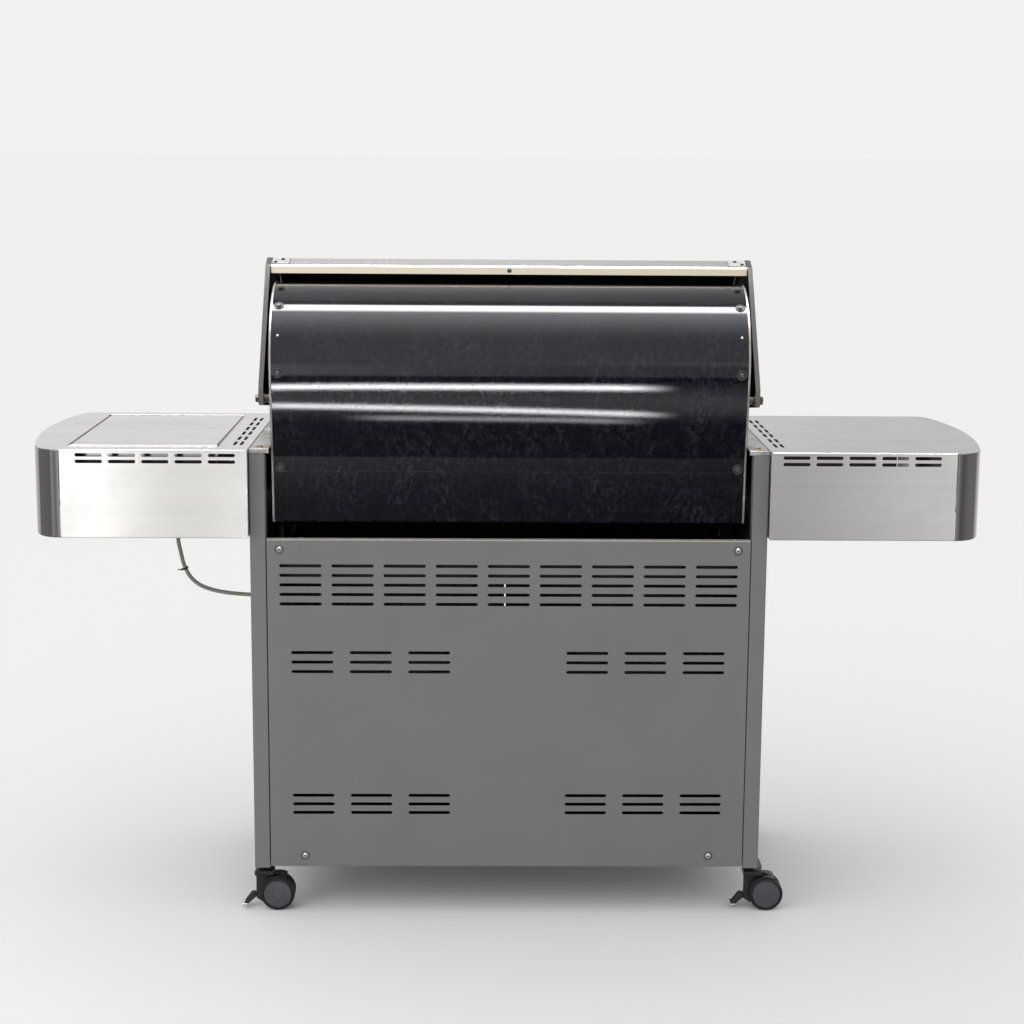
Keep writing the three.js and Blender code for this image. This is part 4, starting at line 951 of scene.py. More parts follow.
def firebox_end(name, side):
    """An end plate with the ledge that carries it on the cart, and the hood's pivot bolt on its spacer."""
    outer = FIREBOX["half"]
    inner = outer - FIREBOX["plate"]
    outline = rear_profile(0, FIREBOX["bottom"]) + bezier(END_FRONT[0], 18) + bezier(END_FRONT[1], 6)[1:]
    outline += [(FIREBOX["front"], FIREBOX["front_top"]), (FIREBOX["front"], FIREBOX["bottom"])]
    plate = punched(outline, [], FIREBOX["plate"], 0.5)
    x = side * (inner + outer) / 2
    far = PANEL["near"] - 0.5
    ledge_outer = SHELF["inner"] - 0.8
    rear, lip = FIREBOX["rear"], FIREBOX["lip"]
    across = [(side * a, b) for a, b in ((outer - 0.5, COUNTER), (ledge_outer, COUNTER),
                                         (ledge_outer, COUNTER - lip))]
    ledge = prism(sheet_loop(fillet(across, FIREBOX["bend"]), -side * SHEET), rear + 1.2, far, along_depth)
    down = fillet([(rear, COUNTER - lip), (rear, COUNTER), (rear + 3, COUNTER)], FIREBOX["bend"])
    low, high = sorted((side * outer, side * ledge_outer))
    rear_lip = prism(sheet_loop(down, -SHEET), low, high, along_x)
    spacer = lathe(SPACER, 36)
    point = at(side * (outer + 0.3), PIVOT["depth"], PIVOT["height"])
    mesh = merged((plate, sideways(x)), plain(ledge), plain(rear_lip))
    for face in mesh.polygons:
        inside = face.center.z > mm(COUNTER + 2) and face.center.y < to_y(150)
        if inside or face.normal.x * side < -0.9:
            face.material_index = 1
    piece(f"firebox_end_plate_{name}", mesh, [ALUMINISED, SOOT], "cart", "aluminised_steel",
          [f"firebox_end_{name}"], 40)
    pin = rod(PIVOT["pin"], 0, PIVOT["pin_length"], 24)
    head = hex_bolt(PIVOT["head"], PIVOT["washer"])
    start = at(side * (inner + 1), PIVOT["depth"], PIVOT["height"])
    tip = at(side * (HOOD_CAP["outer"] + 0.3), PIVOT["depth"], PIVOT["height"])
    mesh = merged((spacer, aim(point, (side, 0, 0))), (pin, aim(start, (side, 0, 0))),
                  (head, aim(tip, (side, 0, 0), 0.3)))
    piece(f"hood_pivot_bolt_{name}", mesh, PIVOT_STEEL, "cart", "aluminised_steel")


back_panels()
for side_name, side_sign in SIDES:
    firebox_end(side_name, side_sign)
dress("firebox_front", ENAMEL, 0.5)
# The hopper's dark steel is grease, and painted shade where the rear slots look into the cart.
dress("hopper", GREASE_AND_SHADE_STEEL, 0.8)
dress("flame_tamers", STAINLESS, 0.5)

# ------------------------------------------------------------------ hood


def hood_profile(proud=0.0, steps=72):
    """The hood's outer line from the rear flange over the top to the front edge, as (depth, height)."""
    depth, height, radius = HOOD["depth"], HOOD["height"], HOOD["radius"]
    rear = HOOD_REAR["depth"]
    line = [(rear, HOOD_REAR["bottom"]), (rear, HOOD_REAR["top"]), HOOD_REAR["corner"],
            *arc(depth, height, radius, 90, 0, steps), (depth + radius, HOOD["bottom"])]
    return offset(line, proud) if proud else line


def hood_skin():
    """The roll-top sheet: stainless outside, sooty inside, and a warm rear flange."""
    profile = hood_profile()
    eased = fillet(profile[:4], 2.0, 3)[:-1] + profile[3:]
    mesh = prism(sheet_loop(eased, -HOOD["sheet"]), -HOOD["half"], HOOD["half"], along_x, cuts=12)
    axis = at(0, HOOD["depth"], HOOD["height"])
    for face in mesh.polygons:
        outward = face.center - axis
        outward.x = 0
        if face.normal.dot(outward) < 0:
            face.material_index = 1
        elif face.normal.y > 0.75 and face.center.z < mm(HOOD_REAR["top"] + 1):
            face.material_index = 2
    piece("hood_sheet", mesh, [STAINLESS, SOOT, WARM_EDGE], "hood", "stainless", ["hood_skin"], 30)


def hood_cap(name, side):
    """A pressed end cap: a plate with a rim that turns inwards, and a boss around the pivot."""
    loop = list(HOOD_CAP_REAR) + hood_profile(HOOD_CAP["proud"])[2:]
    outer, inner, plate = HOOD_CAP["outer"], HOOD_CAP["inner"], HOOD_CAP["plate"]
    closed = [*loop, loop[0], loop[1]]
    inside = offset(closed, -HOOD_CAP["rim"])[1:-1]
    hollow, overlap = outer - inner - plate, 0.4
    depth, height, bore = PIVOT["depth"], PIVOT["height"], PIVOT["bore"]
    sheet = punched(loop, [circle(depth, height, bore, 32)], plate, 0.8)
    rim = punched(loop, [inside], hollow + overlap, 0.4)
    boss = lathe([(bore, 0), (HOOD_CAP["boss"], 0), (HOOD_CAP["boss"], hollow), (bore, hollow)], 40)
    mesh = merged((sheet, sideways(side * (outer - plate / 2))),
                  (rim, sideways(side * (inner + (hollow + overlap) / 2))),
                  (boss, aim(at(side * inner, depth, height), (side, 0, 0))))
    piece(f"hood_cap_pressed_{name}", mesh, CAP_GREY, "hood", "cap_grey", [f"hood_cap_{name}"], 35)


def hood_lugs():
    """The two pale tabs that tie the skin's rear corners to the end caps, with their screws, and a thin dark
    rim of painted shadow under each tab.
    """
    (near, low), (far, high) = HOOD_REAR["corner"], (HOOD["depth"], HOOD["height"] + HOOD["radius"])
    run, rise = far - near, high - low
    slope = math.atan2(rise, run)
    long = math.hypot(run, rise)
    middle = ((near + far) / 2, (low + high) / 2)
    wide, margin = LUG["outer"] - LUG["inner"], LUG["margin"]
    tab = punched(rectangle(-wide / 2, wide / 2, -long / 2, long / 2, 3), [], LUG["thick"], 0.3)
    # A thin dark rim around each tab, under it: painted shadow along the tab's edges.
    outline = rectangle(-wide / 2 - margin, wide / 2 + margin, -long / 2 - margin, long / 2 + margin, 3.5)
    edge = punched(outline, [], LUG["shadow_rim_thick"], 0.1)
    screw = hex_bolt(2.9, 4.2)
    tabs, edges, screws = [], [], []
    for _, side in SIDES:
        x = side * (LUG["inner"] + LUG["outer"]) / 2
        frame_of_tab = Matrix.Translation(at(x, *middle)) @ Matrix.Rotation(-slope, 4, "X")
        tabs.append((tab, frame_of_tab @ Matrix.Translation((0, 0, mm(0.9)))))
        edges.append((edge, frame_of_tab @ Matrix.Translation((0, 0, mm(0.3)))))
        for across, along in ((wide * 0.30, long * 0.24), (-wide * 0.10, -long * 0.24)):
            place = frame_of_tab @ Matrix.Translation(mm(side * across, along, 0.6))
            screws.append(place @ Matrix.Rotation(0.4 * across, 4, "Z"))
    piece("hood_lugs", merged(*tabs), WHITE_PRINT, "hood", "aluminised_steel")
    piece("hood_lug_painted_shadows", merged(*edges), BLACK_PLASTIC, "hood", "black_plastic")
    piece("hood_lug_screws", stamp(screw, screws), BLACKENED_SCREW_AND_SHADE, "hood", "chrome")


hood_skin()
for side_name, side_sign in SIDES:
    hood_cap(side_name, side_sign)
hood_lugs()

# ------------------------------------------------------------------ side shelves

SHELF_END = {"rear_turn": (893, -20), "rear_end": (903, 75), "bow": (943, 290), "front_start": (900, 485),
             "front_turn": (893, 520), "front_end": (868, 520)}
CAP_SEAM_GAP = 1.2
SIDE_KNOB_HOLE = (692.5, 832, 7)  # x, height, radius


def shelf_end(steps=20):
    """The rounded outer end of a shelf, as (x, depth) from the rear seam to the front seam."""
    e = SHELF_END
    rear = bezier(((SHELF["seam"], SHELF["near"]), e["rear_turn"], e["rear_end"]), steps)
    bow = bezier((e["rear_end"], e["bow"], e["front_start"]), steps)
    front = bezier((e["front_start"], e["front_turn"], e["front_end"]), steps)
    return rear + bow[1:] + front[1:] + [(SHELF["seam"], SHELF["far"])]


def fold_strip(x0, x1, depth, outward):
    """The quarter-round fold between a shelf's top and its rear (outward -1) or front (+1) face."""
    r = SHELF["fold"]
    centre = (depth - outward * r, COUNTER - r)
    outer = arc(*centre, r, 90, 90 - outward * 90, 8)
    inner = arc(*centre, max(r - SHEET, 0.4), 90, 90 - outward * 90, 8)
    return prism(outer + inner[::-1], x0, x1, along_x)


def apron(side, depth, slots, inward):
    """A shelf's upright face at a depth, with a return hem along its foot."""
    fold, foot = SHELF["fold"], SHELF["bottom"]
    low, high = sorted((side * (SHELF["inner"] + 0.5), side * SHELF["seam"]))
    face = punched(rectangle(low, high, foot + 2, COUNTER - fold), slots, SHEET)
    hem = fillet([(depth, foot + 2.2), (depth, foot), (depth + inward * 9, foot)], 2.0, 5)
    hem_sheet = prism(sheet_loop(hem, inward * SHEET), low, high, along_x)
    return [(face, upright(depth + inward * SHEET / 2)), plain(hem_sheet)]


def shelf_top(side):
    """A shelf's flat top with its vents, and the opening for the lid on the side burner's side."""
    fold, near, far, inner, seam = (SHELF[k] for k in ("fold", "near", "far", "inner", "seam"))
    outline = [(inner + fold, far - fold), (inner + fold, near + fold), (seam, near + fold)]
    outline += [(seam + 0.4, near + 0.2)] + shelf_end()[1:-1]
    outline += [(seam + 0.4, far - 0.2), (seam, far - fold)]
    holes = []
    for x in TOP_VENT["columns"]:
        for depth in TOP_VENT["depths"]:
            turned = slot_outline(depth, side * x, 2 * TOP_VENT["reach"], 2 * TOP_VENT["half"])
            holes.append([(b, a) for a, b in turned])
    if side > 0:
        g = LID["groove"]
        holes.append(rectangle(LID["inner"] - g, LID["outer"] + g, LID["near"] - g, LID["far"] + g, 4))
    return punched([(side * x, d) for x, d in outline], holes, SHEET, 0.4)


def apron_slots(side):
    """Outlines of the two rows of slots in a shelf's rear apron."""
    slots = []
    for x in spread(APRON_SLOT["columns"], APRON_SLOT["pitch"]):
        for z in (APRON_SLOT["top"], APRON_SLOT["top"] - APRON_SLOT["drop"]):
            x_slot = side * (APRON_SLOT["centre"] + x)
            slots.append(slot_outline(x_slot, z, APRON_SLOT["length"], APRON_SLOT["height"]))
    return slots


def shelf(name, side):
    """A pressed shelf: top, two aprons, the folds between them and the wall beside the cart."""
    fold, near, far, inner = SHELF["fold"], SHELF["near"], SHELF["far"], SHELF["inner"]
    low, high = sorted((side * (inner + fold), side * SHELF["seam"]))
    knob_hole = [circle(*SIDE_KNOB_HOLE)] if side > 0 else []
    parts = [(shelf_top(side), flat(COUNTER - SHEET / 2)), *apron(side, near, apron_slots(side), 1),
             *apron(side, far, knob_hole, -1),
             plain(fold_strip(low, high, near, -1)), plain(fold_strip(low, high, far, 1))]
    wall_line = fillet([(side * (inner + fold + 0.2), COUNTER), (side * inner, COUNTER),
                        (side * inner, SHELF["bottom"]), (side * (inner + 9), SHELF["bottom"])], fold, 6)
    wall = prism(sheet_loop(wall_line, side * SHEET), near + 1.5, far - 1.5, along_depth)
    parts.append(plain(wall))
    if side > 0:
        reach = LID["groove"] + LID_BEAD["offset"]
        corners = [(LID["inner"] - reach, LID["near"] - reach), (LID["outer"] + reach, LID["near"] - reach),
                   (LID["outer"] + reach, LID["far"] + reach), (LID["inner"] - reach, LID["far"] + reach)]
        ring = smooth_corners([at(x, d, COUNTER) for x, d in corners], 7)
        parts.append(plain(tube(ring, mm(LID_BEAD["radius"]), 12, closed=True)))
    mesh = merged(*parts)
    # Faces inside the shelf take the dark steel: painted shade, for the shadow inside the shelf that its
    # slots look into.
    for face in mesh.polygons:
        turned_in = face.normal.y * (1 if face.center.y < to_y((near + far) / 2) else -1) > 0.9
        under_top = face.normal.z < -0.5 and face.center.z > mm(COUNTER - 10)
        if turned_in or under_top or face.normal.x * side > 0.9:
            face.material_index = 1
    piece(f"shelf_sheet_{name}", mesh, [STAINLESS, GREASE_AND_SHADE_STEEL], "cart", "stainless", [f"shelf_{name}"],
          40)


def shelf_cap(name, side):
    """The curved dark end of a shelf, with a hem along its foot."""
    line = shelf_end()
    line[0] = (SHELF["seam"] + CAP_SEAM_GAP, SHELF["near"])
    line[-1] = (SHELF["seam"] + CAP_SEAM_GAP, SHELF["far"])
    mirrored = [(side * x, d) for x, d in line]
    foot, top = SHELF["bottom"], COUNTER - SHEET - 0.3
    wall = prism(sheet_loop(mirrored, side * 2), foot, top, along_z)
    hem = prism(sheet_loop(mirrored, side * 9), foot, foot + SHEET, along_z)
    piece(f"shelf_end_cap_{name}", merged(plain(wall), plain(hem)), DARK_STAINLESS, "cart",
          "dark_stainless", [f"shelf_cap_{name}"], 35, bevel=0.5)


def side_burner_lid():
    """The flush lid over the side burner: a shallow folded tray, with painted shade on its upright edges."""
    body = block((LID["outer"] - LID["inner"], LID["far"] - LID["near"], LID["tall"]))
    middle = at((LID["inner"] + LID["outer"]) / 2, (LID["near"] + LID["far"]) / 2, LID["height"])
    sheet = folded(body, lambda f: f.normal.z < -0.9, 2.2)
    mesh = merged((sheet, Matrix.Translation(middle)))
    # Upright edge faces take the dark steel: painted shade in the groove around the lid.
    for face in mesh.polygons:
        face.material_index = 1 if abs(face.normal.z) < 0.3 else 0
    piece("side_lid_sheet", mesh, [STAINLESS, GREASE_AND_SHADE_STEEL], "burner_lid", "stainless",
          ["side_burner_lid"], 40)


for side_name, side_sign in SIDES:
    shelf(side_name, side_sign)
    shelf_cap(side_name, side_sign)
side_burner_lid()
dress("side_burner_bowl", STAINLESS, 0.8)
dress("side_burner_grate", CAST_IRON, 1.2)
dress("side_burner_valve", BRASS, 0.6)

# ------------------------------------------------------------------ casters

CASTER = {"x": 479, "rear": 32, "front": 488, "trail": 31, "radius": 33, "half": 22, "web": 6, "gap": 7,
          "axle": 5.8, "bore": 7.5, "cover": 3.2}
FORK = {"front": 12, "rear": 16, "top": 78, "shoulder": 70, "hub": 24, "chin": 12}
PEDAL = {"x": 17, "z": 27, "reach": 36, "inner": 3.6, "outer": 9, "tread_half": 15}


def caster(place, side_word, x, depth, braked):
    """A twin-wheel caster: tyres, faces and axle roll on its frame, which swivels under a plate."""
    radius, half, gap, trail = (CASTER[k] for k in ("radius", "half", "gap", "trail"))
    body, tag = f"caster_{place}_{side_word}", f"{place}_{side_word}"
    wheel_x = x - trail
    hub = at(wheel_x, depth, radius)
    tread = [(6, gap), (radius - 4, gap), (radius - 1.5, gap + 1.2), (radius, gap + 4), (radius, half - 5),
             (radius - 0.8, half - 2.5), (radius - 3, half - 0.8), (radius - 4.5, half - 0.3),
             (radius - 5.2, half - 0.9), (radius - 6, half - 2.2), (6, half - 2.2), (6, gap)]
    face = [(0, half - 0.2), (9, half - 0.3), (10, half - 0.9), (11.5, half - 1.0), (12.5, half - 0.5),
            (24, half - 0.9), (26.4, half - 1.2), (27, half - 1.8), (27, half - 3), (0, half - 3)]
    axle = rod(CASTER["axle"], -gap - 1, gap + 1, 24)
    tyres = [(lathe(tread, 72), aim(hub, (0, s, 0))) for s in (-1, 1)]
    discs = [(lathe(face, 64), aim(hub, (0, s, 0))) for s in (-1, 1)]
    wheels = f"wheels_{tag}"
    piece(f"caster_tyres_{tag}", merged(*tyres), RUBBER, wheels, "rubber_tread",
          [f"caster_wheels_{tag}"], 35)
    piece(f"caster_faces_{tag}", merged(*discs), WHEEL_FACE, wheels, "black_plastic", (), 30)
    piece(f"caster_axle_{tag}", merged((axle, aim(hub, (0, 1, 0)))), ZINC, wheels, "chrome")
    front, rear, top = x + FORK["front"], x - FORK["rear"], FORK["top"]
    outline = [(front, 20), (front, top - 3), (front - 3, top), (rear + 4, top), (rear - 6, top - 2),
               (wheel_x - 8, FORK["shoulder"]), *arc(wheel_x, radius, FORK["hub"], 135, 270, 24),
               (x, FORK["chin"])]
    bore = circle(wheel_x, radius, CASTER["bore"])
    web = punched(outline, [bore], 2 * CASTER["web"], 1.6)
    crown = block((38, 30, 11), 2.5, 3)
    stem = lathe([(0, -4), (9, -4), (9, 2), (7, 3), (7, 13.7), (0, 13.7)], 28)
    # The frame's curved shell follows the tread on top.
    shell_line = arc(wheel_x, radius, radius + CASTER["cover"], 28, 118, 22)
    shell = prism(sheet_loop(shell_line, 2.2), depth - half + 1.5, depth + half - 1.5, along_depth)
    parts = [(web, upright(depth)), (crown, Matrix.Translation(at(x - 5, depth, radius + 40.5))),
             plain(shell), (stem, Matrix.Translation(at(x, depth, FORK["top"])))]
    if braked:
        tongue = block((17, 6, 10), 1.0)
        parts.append((tongue, Matrix.Translation(at(x + 13.5, depth, PEDAL["z"]))))
    piece(f"caster_frame_{tag}", merged(*parts), BLACK_PLASTIC, body, "black_plastic",
          [f"caster_housing_{tag}"], 35)
    plate = punched(rectangle(x - 21, x + 10.5, depth - 26, depth + 26, 4), [], 1.6)
    mesh = merged((plate, flat(CART["bottom"] - 1.2)))
    piece(f"caster_top_plate_{tag}", mesh, PIVOT_STEEL, "cart", "aluminised_steel")
    if braked:
        brake_pedal(tag, x, depth)


def brake_pedal(tag, x, depth):
    """A pressed steel pedal: two cheeks on the pin, and a tread with ribs across it."""
    px, pz = x + PEDAL["x"], PEDAL["z"]
    tip = x + PEDAL["reach"]
    cheek = punched([(px - 4, pz + 2), (px - 4, pz - 5), (tip - 8, 8.6), (tip, 8.6), (tip + 1, 10),
                     (px + 6, pz + 2), (px + 4, pz + 4), (px - 2, pz + 4)], [], 2.2, 0.4)
    inner, outer, half = PEDAL["inner"], PEDAL["outer"], PEDAL["tread_half"]
    cheeks = [(cheek, upright(depth + s * (inner + outer) / 2)) for s in (-1, 1)]
    pin = lathe([(0, -6.6), (3.4, -6.6), (3.4, -5.6), (2.5, -5.4), (2.5, 5.4), (3.4, 5.6), (3.4, 6.6),
                 (0, 6.6)], 20)
    cheeks.append((pin, aim(at(px, depth, pz), (0, 1, 0))))
    body = f"brake_{tag}"
    piece(f"brake_arm_{tag}", merged(*cheeks), BLACK_PLASTIC, body, "black_plastic",
          [f"brake_pedal_{tag}"], 35)
    tread = block((11, 2 * half, 3), 1.1, 3)
    parts = [(tread, Matrix.Translation(at(tip - 2.5, depth, 9.8)))]
    rib = block((1.1, 2 * half - 6, 1.0), 0.3)
    parts += [(rib, Matrix.Translation(at(tip - 5.5 + 2.6 * i, depth, 11.5))) for i in range(4)]
    piece(f"brake_tread_{tag}", merged(*parts), CHROME, body, "chrome", (), 35)


for side_name, side_sign in SIDES:
    caster("rear", side_name, side_sign * CASTER["x"], CASTER["rear"], True)
    caster("front", side_name, side_sign * CASTER["x"], CASTER["front"], False)

# ------------------------------------------------------------------ fasteners


def crown_spot(x, depth, height):
    """A place on the rear sheet's crown, and the outward direction there."""
    centre = Vector((CROWN_ARC["depth"], CROWN_ARC["height"]))
    away = (Vector((depth, height)) - centre).normalized()
    spot = centre + away * (CROWN_ARC["radius"] - INSET)
    return at(x, spot.x, spot.y), Vector((0, -away.x, away.y))


def raised_rim(radius):
    """The rounded rim of a dished washer."""
    r = radius
    return lathe([(r * 0.78, 0.2), (r * 0.82, 1.2), (r * 0.90, 1.5), (r * 0.97, 1.2), (r, 0.3), (r, -0.3),
                  (r * 0.78, -0.3), (r * 0.78, 0.2)], 40)


def fasteners():
    """Screws, bolts, washers and rivets of the rear, all on the cart but the hood flange's screw."""
    bright, bolts, faint, studs, washers = [], [], [], [], []
    for _, side in SIDES:
        for x, z in PANEL_SCREWS:
            washers.append(aim(at(side * x, 0, z), (0, 1, 0)))
            bright.append(aim(at(side * x, -0.9, z), (0, 1, 0), 0.7 + x * side))
        for depth, height in BACK_BOLTS["depth_height"]:
            spot, away = crown_spot(side * BACK_BOLTS["x"], depth, height)
            bolts.append(aim(spot, away, height * side))
        bolts.append(aim(at(side * BACK_BOLTS["x"], *BACK_BOLTS["lap"]), (0, 1, 0.07), 0.4 * side))
        studs.append(aim(*crown_spot(side * BACK_BOLTS["x"], *BACK_BOLTS["rivet"])))
        faint.append(aim(*crown_spot(side * BACK_BOLTS["x"], *BACK_BOLTS["faint"])))
    piece("rear_panel_screws", stamp(pan_screw(5.4), bright), BRIGHT_SCREW, "cart", "chrome")
    # A dark disc in each screw's dimple: painted shade in the recess.
    recess = rod(2.1, 1.6, 0.8, 6)
    piece("rear_panel_screw_recess_shade", stamp(recess, bright), BLACKENED_SCREW_AND_SHADE, "cart", "chrome")
    piece("rear_panel_washers", stamp(washer_ring(8.6, 3.5, 1.0), washers), BOLT_STEEL, "cart", "chrome")
    rim = BACK_BOLTS["rim"]
    heads = merged(plain(raised_rim(rim)), (hex_bolt(4.6, 5.0), Matrix.Translation(mm(0, 0, 0.2))))
    # A dark disc inside each washer's raised rim: painted shade in the washer's hollow around the bolt head.
    washer_hollow_shade = rod(rim * 0.8, 0.3, -0.3, 32)
    piece("back_panel_bolts", stamp(heads, bolts), BOLT_STEEL, "cart", "chrome")
    piece("back_panel_bolt_hollow_shade", stamp(washer_hollow_shade, bolts), BLACKENED_SCREW_AND_SHADE, "cart", "chrome")
    piece("back_panel_rivets", stamp(rivet(2.6), studs), BRIGHT_SCREW, "cart", "chrome")
    piece("back_panel_top_bolts", stamp(hex_bolt(4.6, 7.5), faint), BLACKENED_SCREW_AND_SHADE, "cart", "chrome")
    flange = aim(at(0, HOOD_REAR["depth"], 1238.5), (0, 1, 0), 0.5)
    piece("hood_flange_screw", stamp(pan_screw(4.5), [flange]), BOLT_STEEL, "hood", "chrome")
    ledge_bolts = [aim(at(side * 471, 24, COUNTER), (0, 0, 1), 0.4) for _, side in SIDES]
    piece("ledge_bolts", stamp(hex_bolt(5, 8), ledge_bolts), YELLOW_ZINC, "cart", "brass")


fasteners()

# ------------------------------------------------------------------ front of the grill

DOOR = {"inner": 1.5, "outer": 486, "bottom": 98, "top": 640, "near": 522, "far": 540}
DRAWER_FRONT = {"bottom": 643, "top": 742}
HAND_SLOT = {"drop": 30, "length": 150, "height": 28}
KNOB = {"radius": 27, "near": 561, "far": 596, "pitch": 175, "height": 842, "count": 5,
        "hole": 7}
BUTTON = {"x": 440, "radius": 10, "hole": 10.8, "near": 553, "far": 568}
SIDE_KNOB = {"x": 692.5, "near": 521, "height": 832}
HANDLE = {"depth": 580, "height": 1000, "radius": 13, "half": 385, "post": 330}
DOOR_HANDLE = {"x": 52, "bottom": 380, "top": 580, "depth": 566, "radius": 7, "post": 30}
THERMOMETER_ANGLE = 30
SCALE = {"start": 90, "step": 25, "marks": 9, "inside": 33.5}  # degrees, mm: the ticks around a knob
DIAL = {"start": 225, "sweep": 270, "marks": 30, "outside": 24.6, "text_at": 16.6, "text": 0.0046,
        "needle": 218}


def front_box(x0, x1, z0, z1, near, far, corner, holes=()):
    """A sheet pressed into a shallow box, open to the rear, with rounded edges and holes in its face."""
    body = block((x1 - x0, far - near, z1 - z0))
    sheet = folded(body, lambda f: f.normal.y > 0.9, corner)
    middle = at((x0 + x1) / 2, (near + far) / 2, (z0 + z1) / 2)
    mesh = merged((sheet, Matrix.Translation(middle)))
    if holes:
        mesh = cut(mesh, merged(*[(punched(hole, [], 30, 0.05), upright(far)) for hole in holes]))
    return mesh


def control_panel():
    """The panel with its holes, and the bezel and the printed scale behind every knob."""
    holes = [circle(x, KNOB["height"], KNOB["hole"]) for x in spread(KNOB["count"], KNOB["pitch"])]
    holes.append(circle(BUTTON["x"], KNOB["height"], BUTTON["hole"], 36))
    mesh = front_box(-PANEL["half"], PANEL["half"], PANEL["bottom"], PANEL["top"], PANEL["near"],
                     PANEL["far"], 7, holes)
    piece("control_panel_sheet", mesh, STAINLESS, "cart", "stainless", ["control_panel"], 40)
    ring = lathe([(7.5, 0), (29.5, 0), (30.5, 0.25), (30, 0.6), (7.5, 0.6), (7.5, 0)], 64)
    rings, ticks = [], []
    spots = [(x, PANEL["far"], KNOB["height"]) for x in spread(KNOB["count"], KNOB["pitch"])]
    spots.append((SIDE_KNOB["x"], SHELF["far"], SIDE_KNOB["height"]))
    for x, far, z in spots:
        rings.append(aim(at(x, far, z), (0, -1, 0)))
        for i in range(SCALE["marks"]):
            angle = math.radians(SCALE["start"] - SCALE["step"] * i)
            long = 4.5 if i in (0, 4, 8) else 2.6
            reach = SCALE["inside"] + long / 2
            spot = at(x + reach * math.cos(angle), far + 0.15, z + reach * math.sin(angle))
            turn = Matrix.Translation(spot) @ Matrix.Rotation(-angle, 4, "Y")
            ticks.append((block((long, 0.25, 1.1)), turn))
    piece("knob_bezels", stamp(ring, rings), CAP_GREY, "cart", "cap_grey")
    piece("knob_scales", merged(*ticks), DIAL_INK, "cart", "black_plastic")


def knob(name, body, node, x, near, z):
    """A skirted knob with a waisted grip, a bright cap ring and a white pointer."""
    r = KNOB["radius"]
    long = KNOB["far"] - KNOB["near"]
    skirt = lathe([(4.1, 0), (r - 1, 0), (r, 1), (r, 4), (r - 1.2, 6), (r - 4, 8.5), (r - 6, 13), (r - 8, 15),
                   (4.1, 15), (4.1, 0)], 72)
    waist = arc(0, 0, r - 5.4, -24, 24, 8) + arc(0, 0, r - 5.4, 156, 204, 8)
    waist = [(px, max(-8.8, min(8.8, py))) for px, py in waist]
    grip = punched(waist, [], long - 13, 1.8)
    grip_place = Matrix.Translation((mm(x), 0, mm(z))) @ upright(near + 13 + (long - 13) / 2)
    parts = [(skirt, aim(at(x, near, z), (0, -1, 0))), (grip, grip_place)]
    piece(name, merged(*parts), BLACK_PLASTIC, body, "black_plastic", [node], 35)
    band = lathe([(r - 0.4, 1.2), (r + 0.35, 1.4), (r + 0.35, 3.4), (r - 0.4, 3.6), (r - 0.4, 1.2)], 72)
    piece(f"{name}_band", merged((band, aim(at(x, near, z), (0, -1, 0)))), CHROME, body, "chrome")
    mark = block((10, 0.5, 1.5), 0.2)
    spot = at(x + r - 12.5, near + long - 0.4, z)
    piece(f"{name}_pointer", merged((mark, Matrix.Translation(spot))), WHITE_PRINT, body, "black_plastic")


def igniter():
    """The igniter's button with its printed bolt of lightning, and the bezel around it."""
    r, long = BUTTON["radius"], BUTTON["far"] - BUTTON["near"]
    profile = [(0, 0), (r - 0.5, 0), (r - 0.5, long - 4), (r - 1, long - 1.6), (r - 2.4, long - 0.4),
               (r - 5, long - 0.9), (0, long - 1.4)]
    mesh = merged((lathe(profile, 48), aim(at(BUTTON["x"], BUTTON["near"], KNOB["height"]), (0, -1, 0))))
    piece("igniter_cap", mesh, BLACK_PLASTIC, "igniter", "black_plastic", ["igniter_button"])
    ring = lathe([(10.9, 0), (14.5, 0), (14.5, 0.8), (13, 1.8), (11.2, 1.8), (10.9, 1.4), (10.9, 0)], 48)
    mesh = merged((ring, aim(at(BUTTON["x"], PANEL["far"], KNOB["height"]), (0, -1, 0))))
    piece("igniter_bezel", mesh, CHROME, "cart", "chrome")
    bolt = [(-1.2, 5.2), (2.8, 5.2), (0.6, 1.0), (3.0, 1.0), (-2.2, -5.4), (-0.6, -0.8), (-3.0, -0.8)]
    shifted = [(BUTTON["x"] + x, KNOB["height"] + z) for x, z in bolt]
    mesh = merged((punched(shifted, [], 0.4, 0.05), upright(BUTTON["far"] - 1.2)))
    piece("igniter_mark", mesh, WHITE_PRINT, "igniter", "black_plastic")


def bar_handle(name, body, node, start, end, posts, radius, foot_radius, wall):
    """A round bar with domed ends on two posts that stand on the wall behind it."""
    axis = (end - start).normalized()
    length = (end - start).length / MM
    r = radius
    end_cap = [(0, 0), (r * 0.55, 0.4), (r * 0.86, 1.6), (r, 4)]
    bar = lathe(end_cap + [(px, length - pz) for px, pz in end_cap[::-1]], 48)
    parts = [(bar, aim(start, axis))]
    for post in posts:
        foot = wall(post)
        reach = (post - foot).length / MM
        neck = foot_radius * 0.72
        shape = lathe([(0, 0), (foot_radius, 0), (foot_radius, 2.2), (foot_radius - 1, 3), (neck, 4.5),
                       (neck * 0.9, reach * 0.5), (neck, reach - r * 0.6), (0, reach - r * 0.5)], 40)
        parts.append((shape, aim(foot, post - foot)))
    piece(name, merged(*parts), CHROME, body, "chrome", [node], 35)


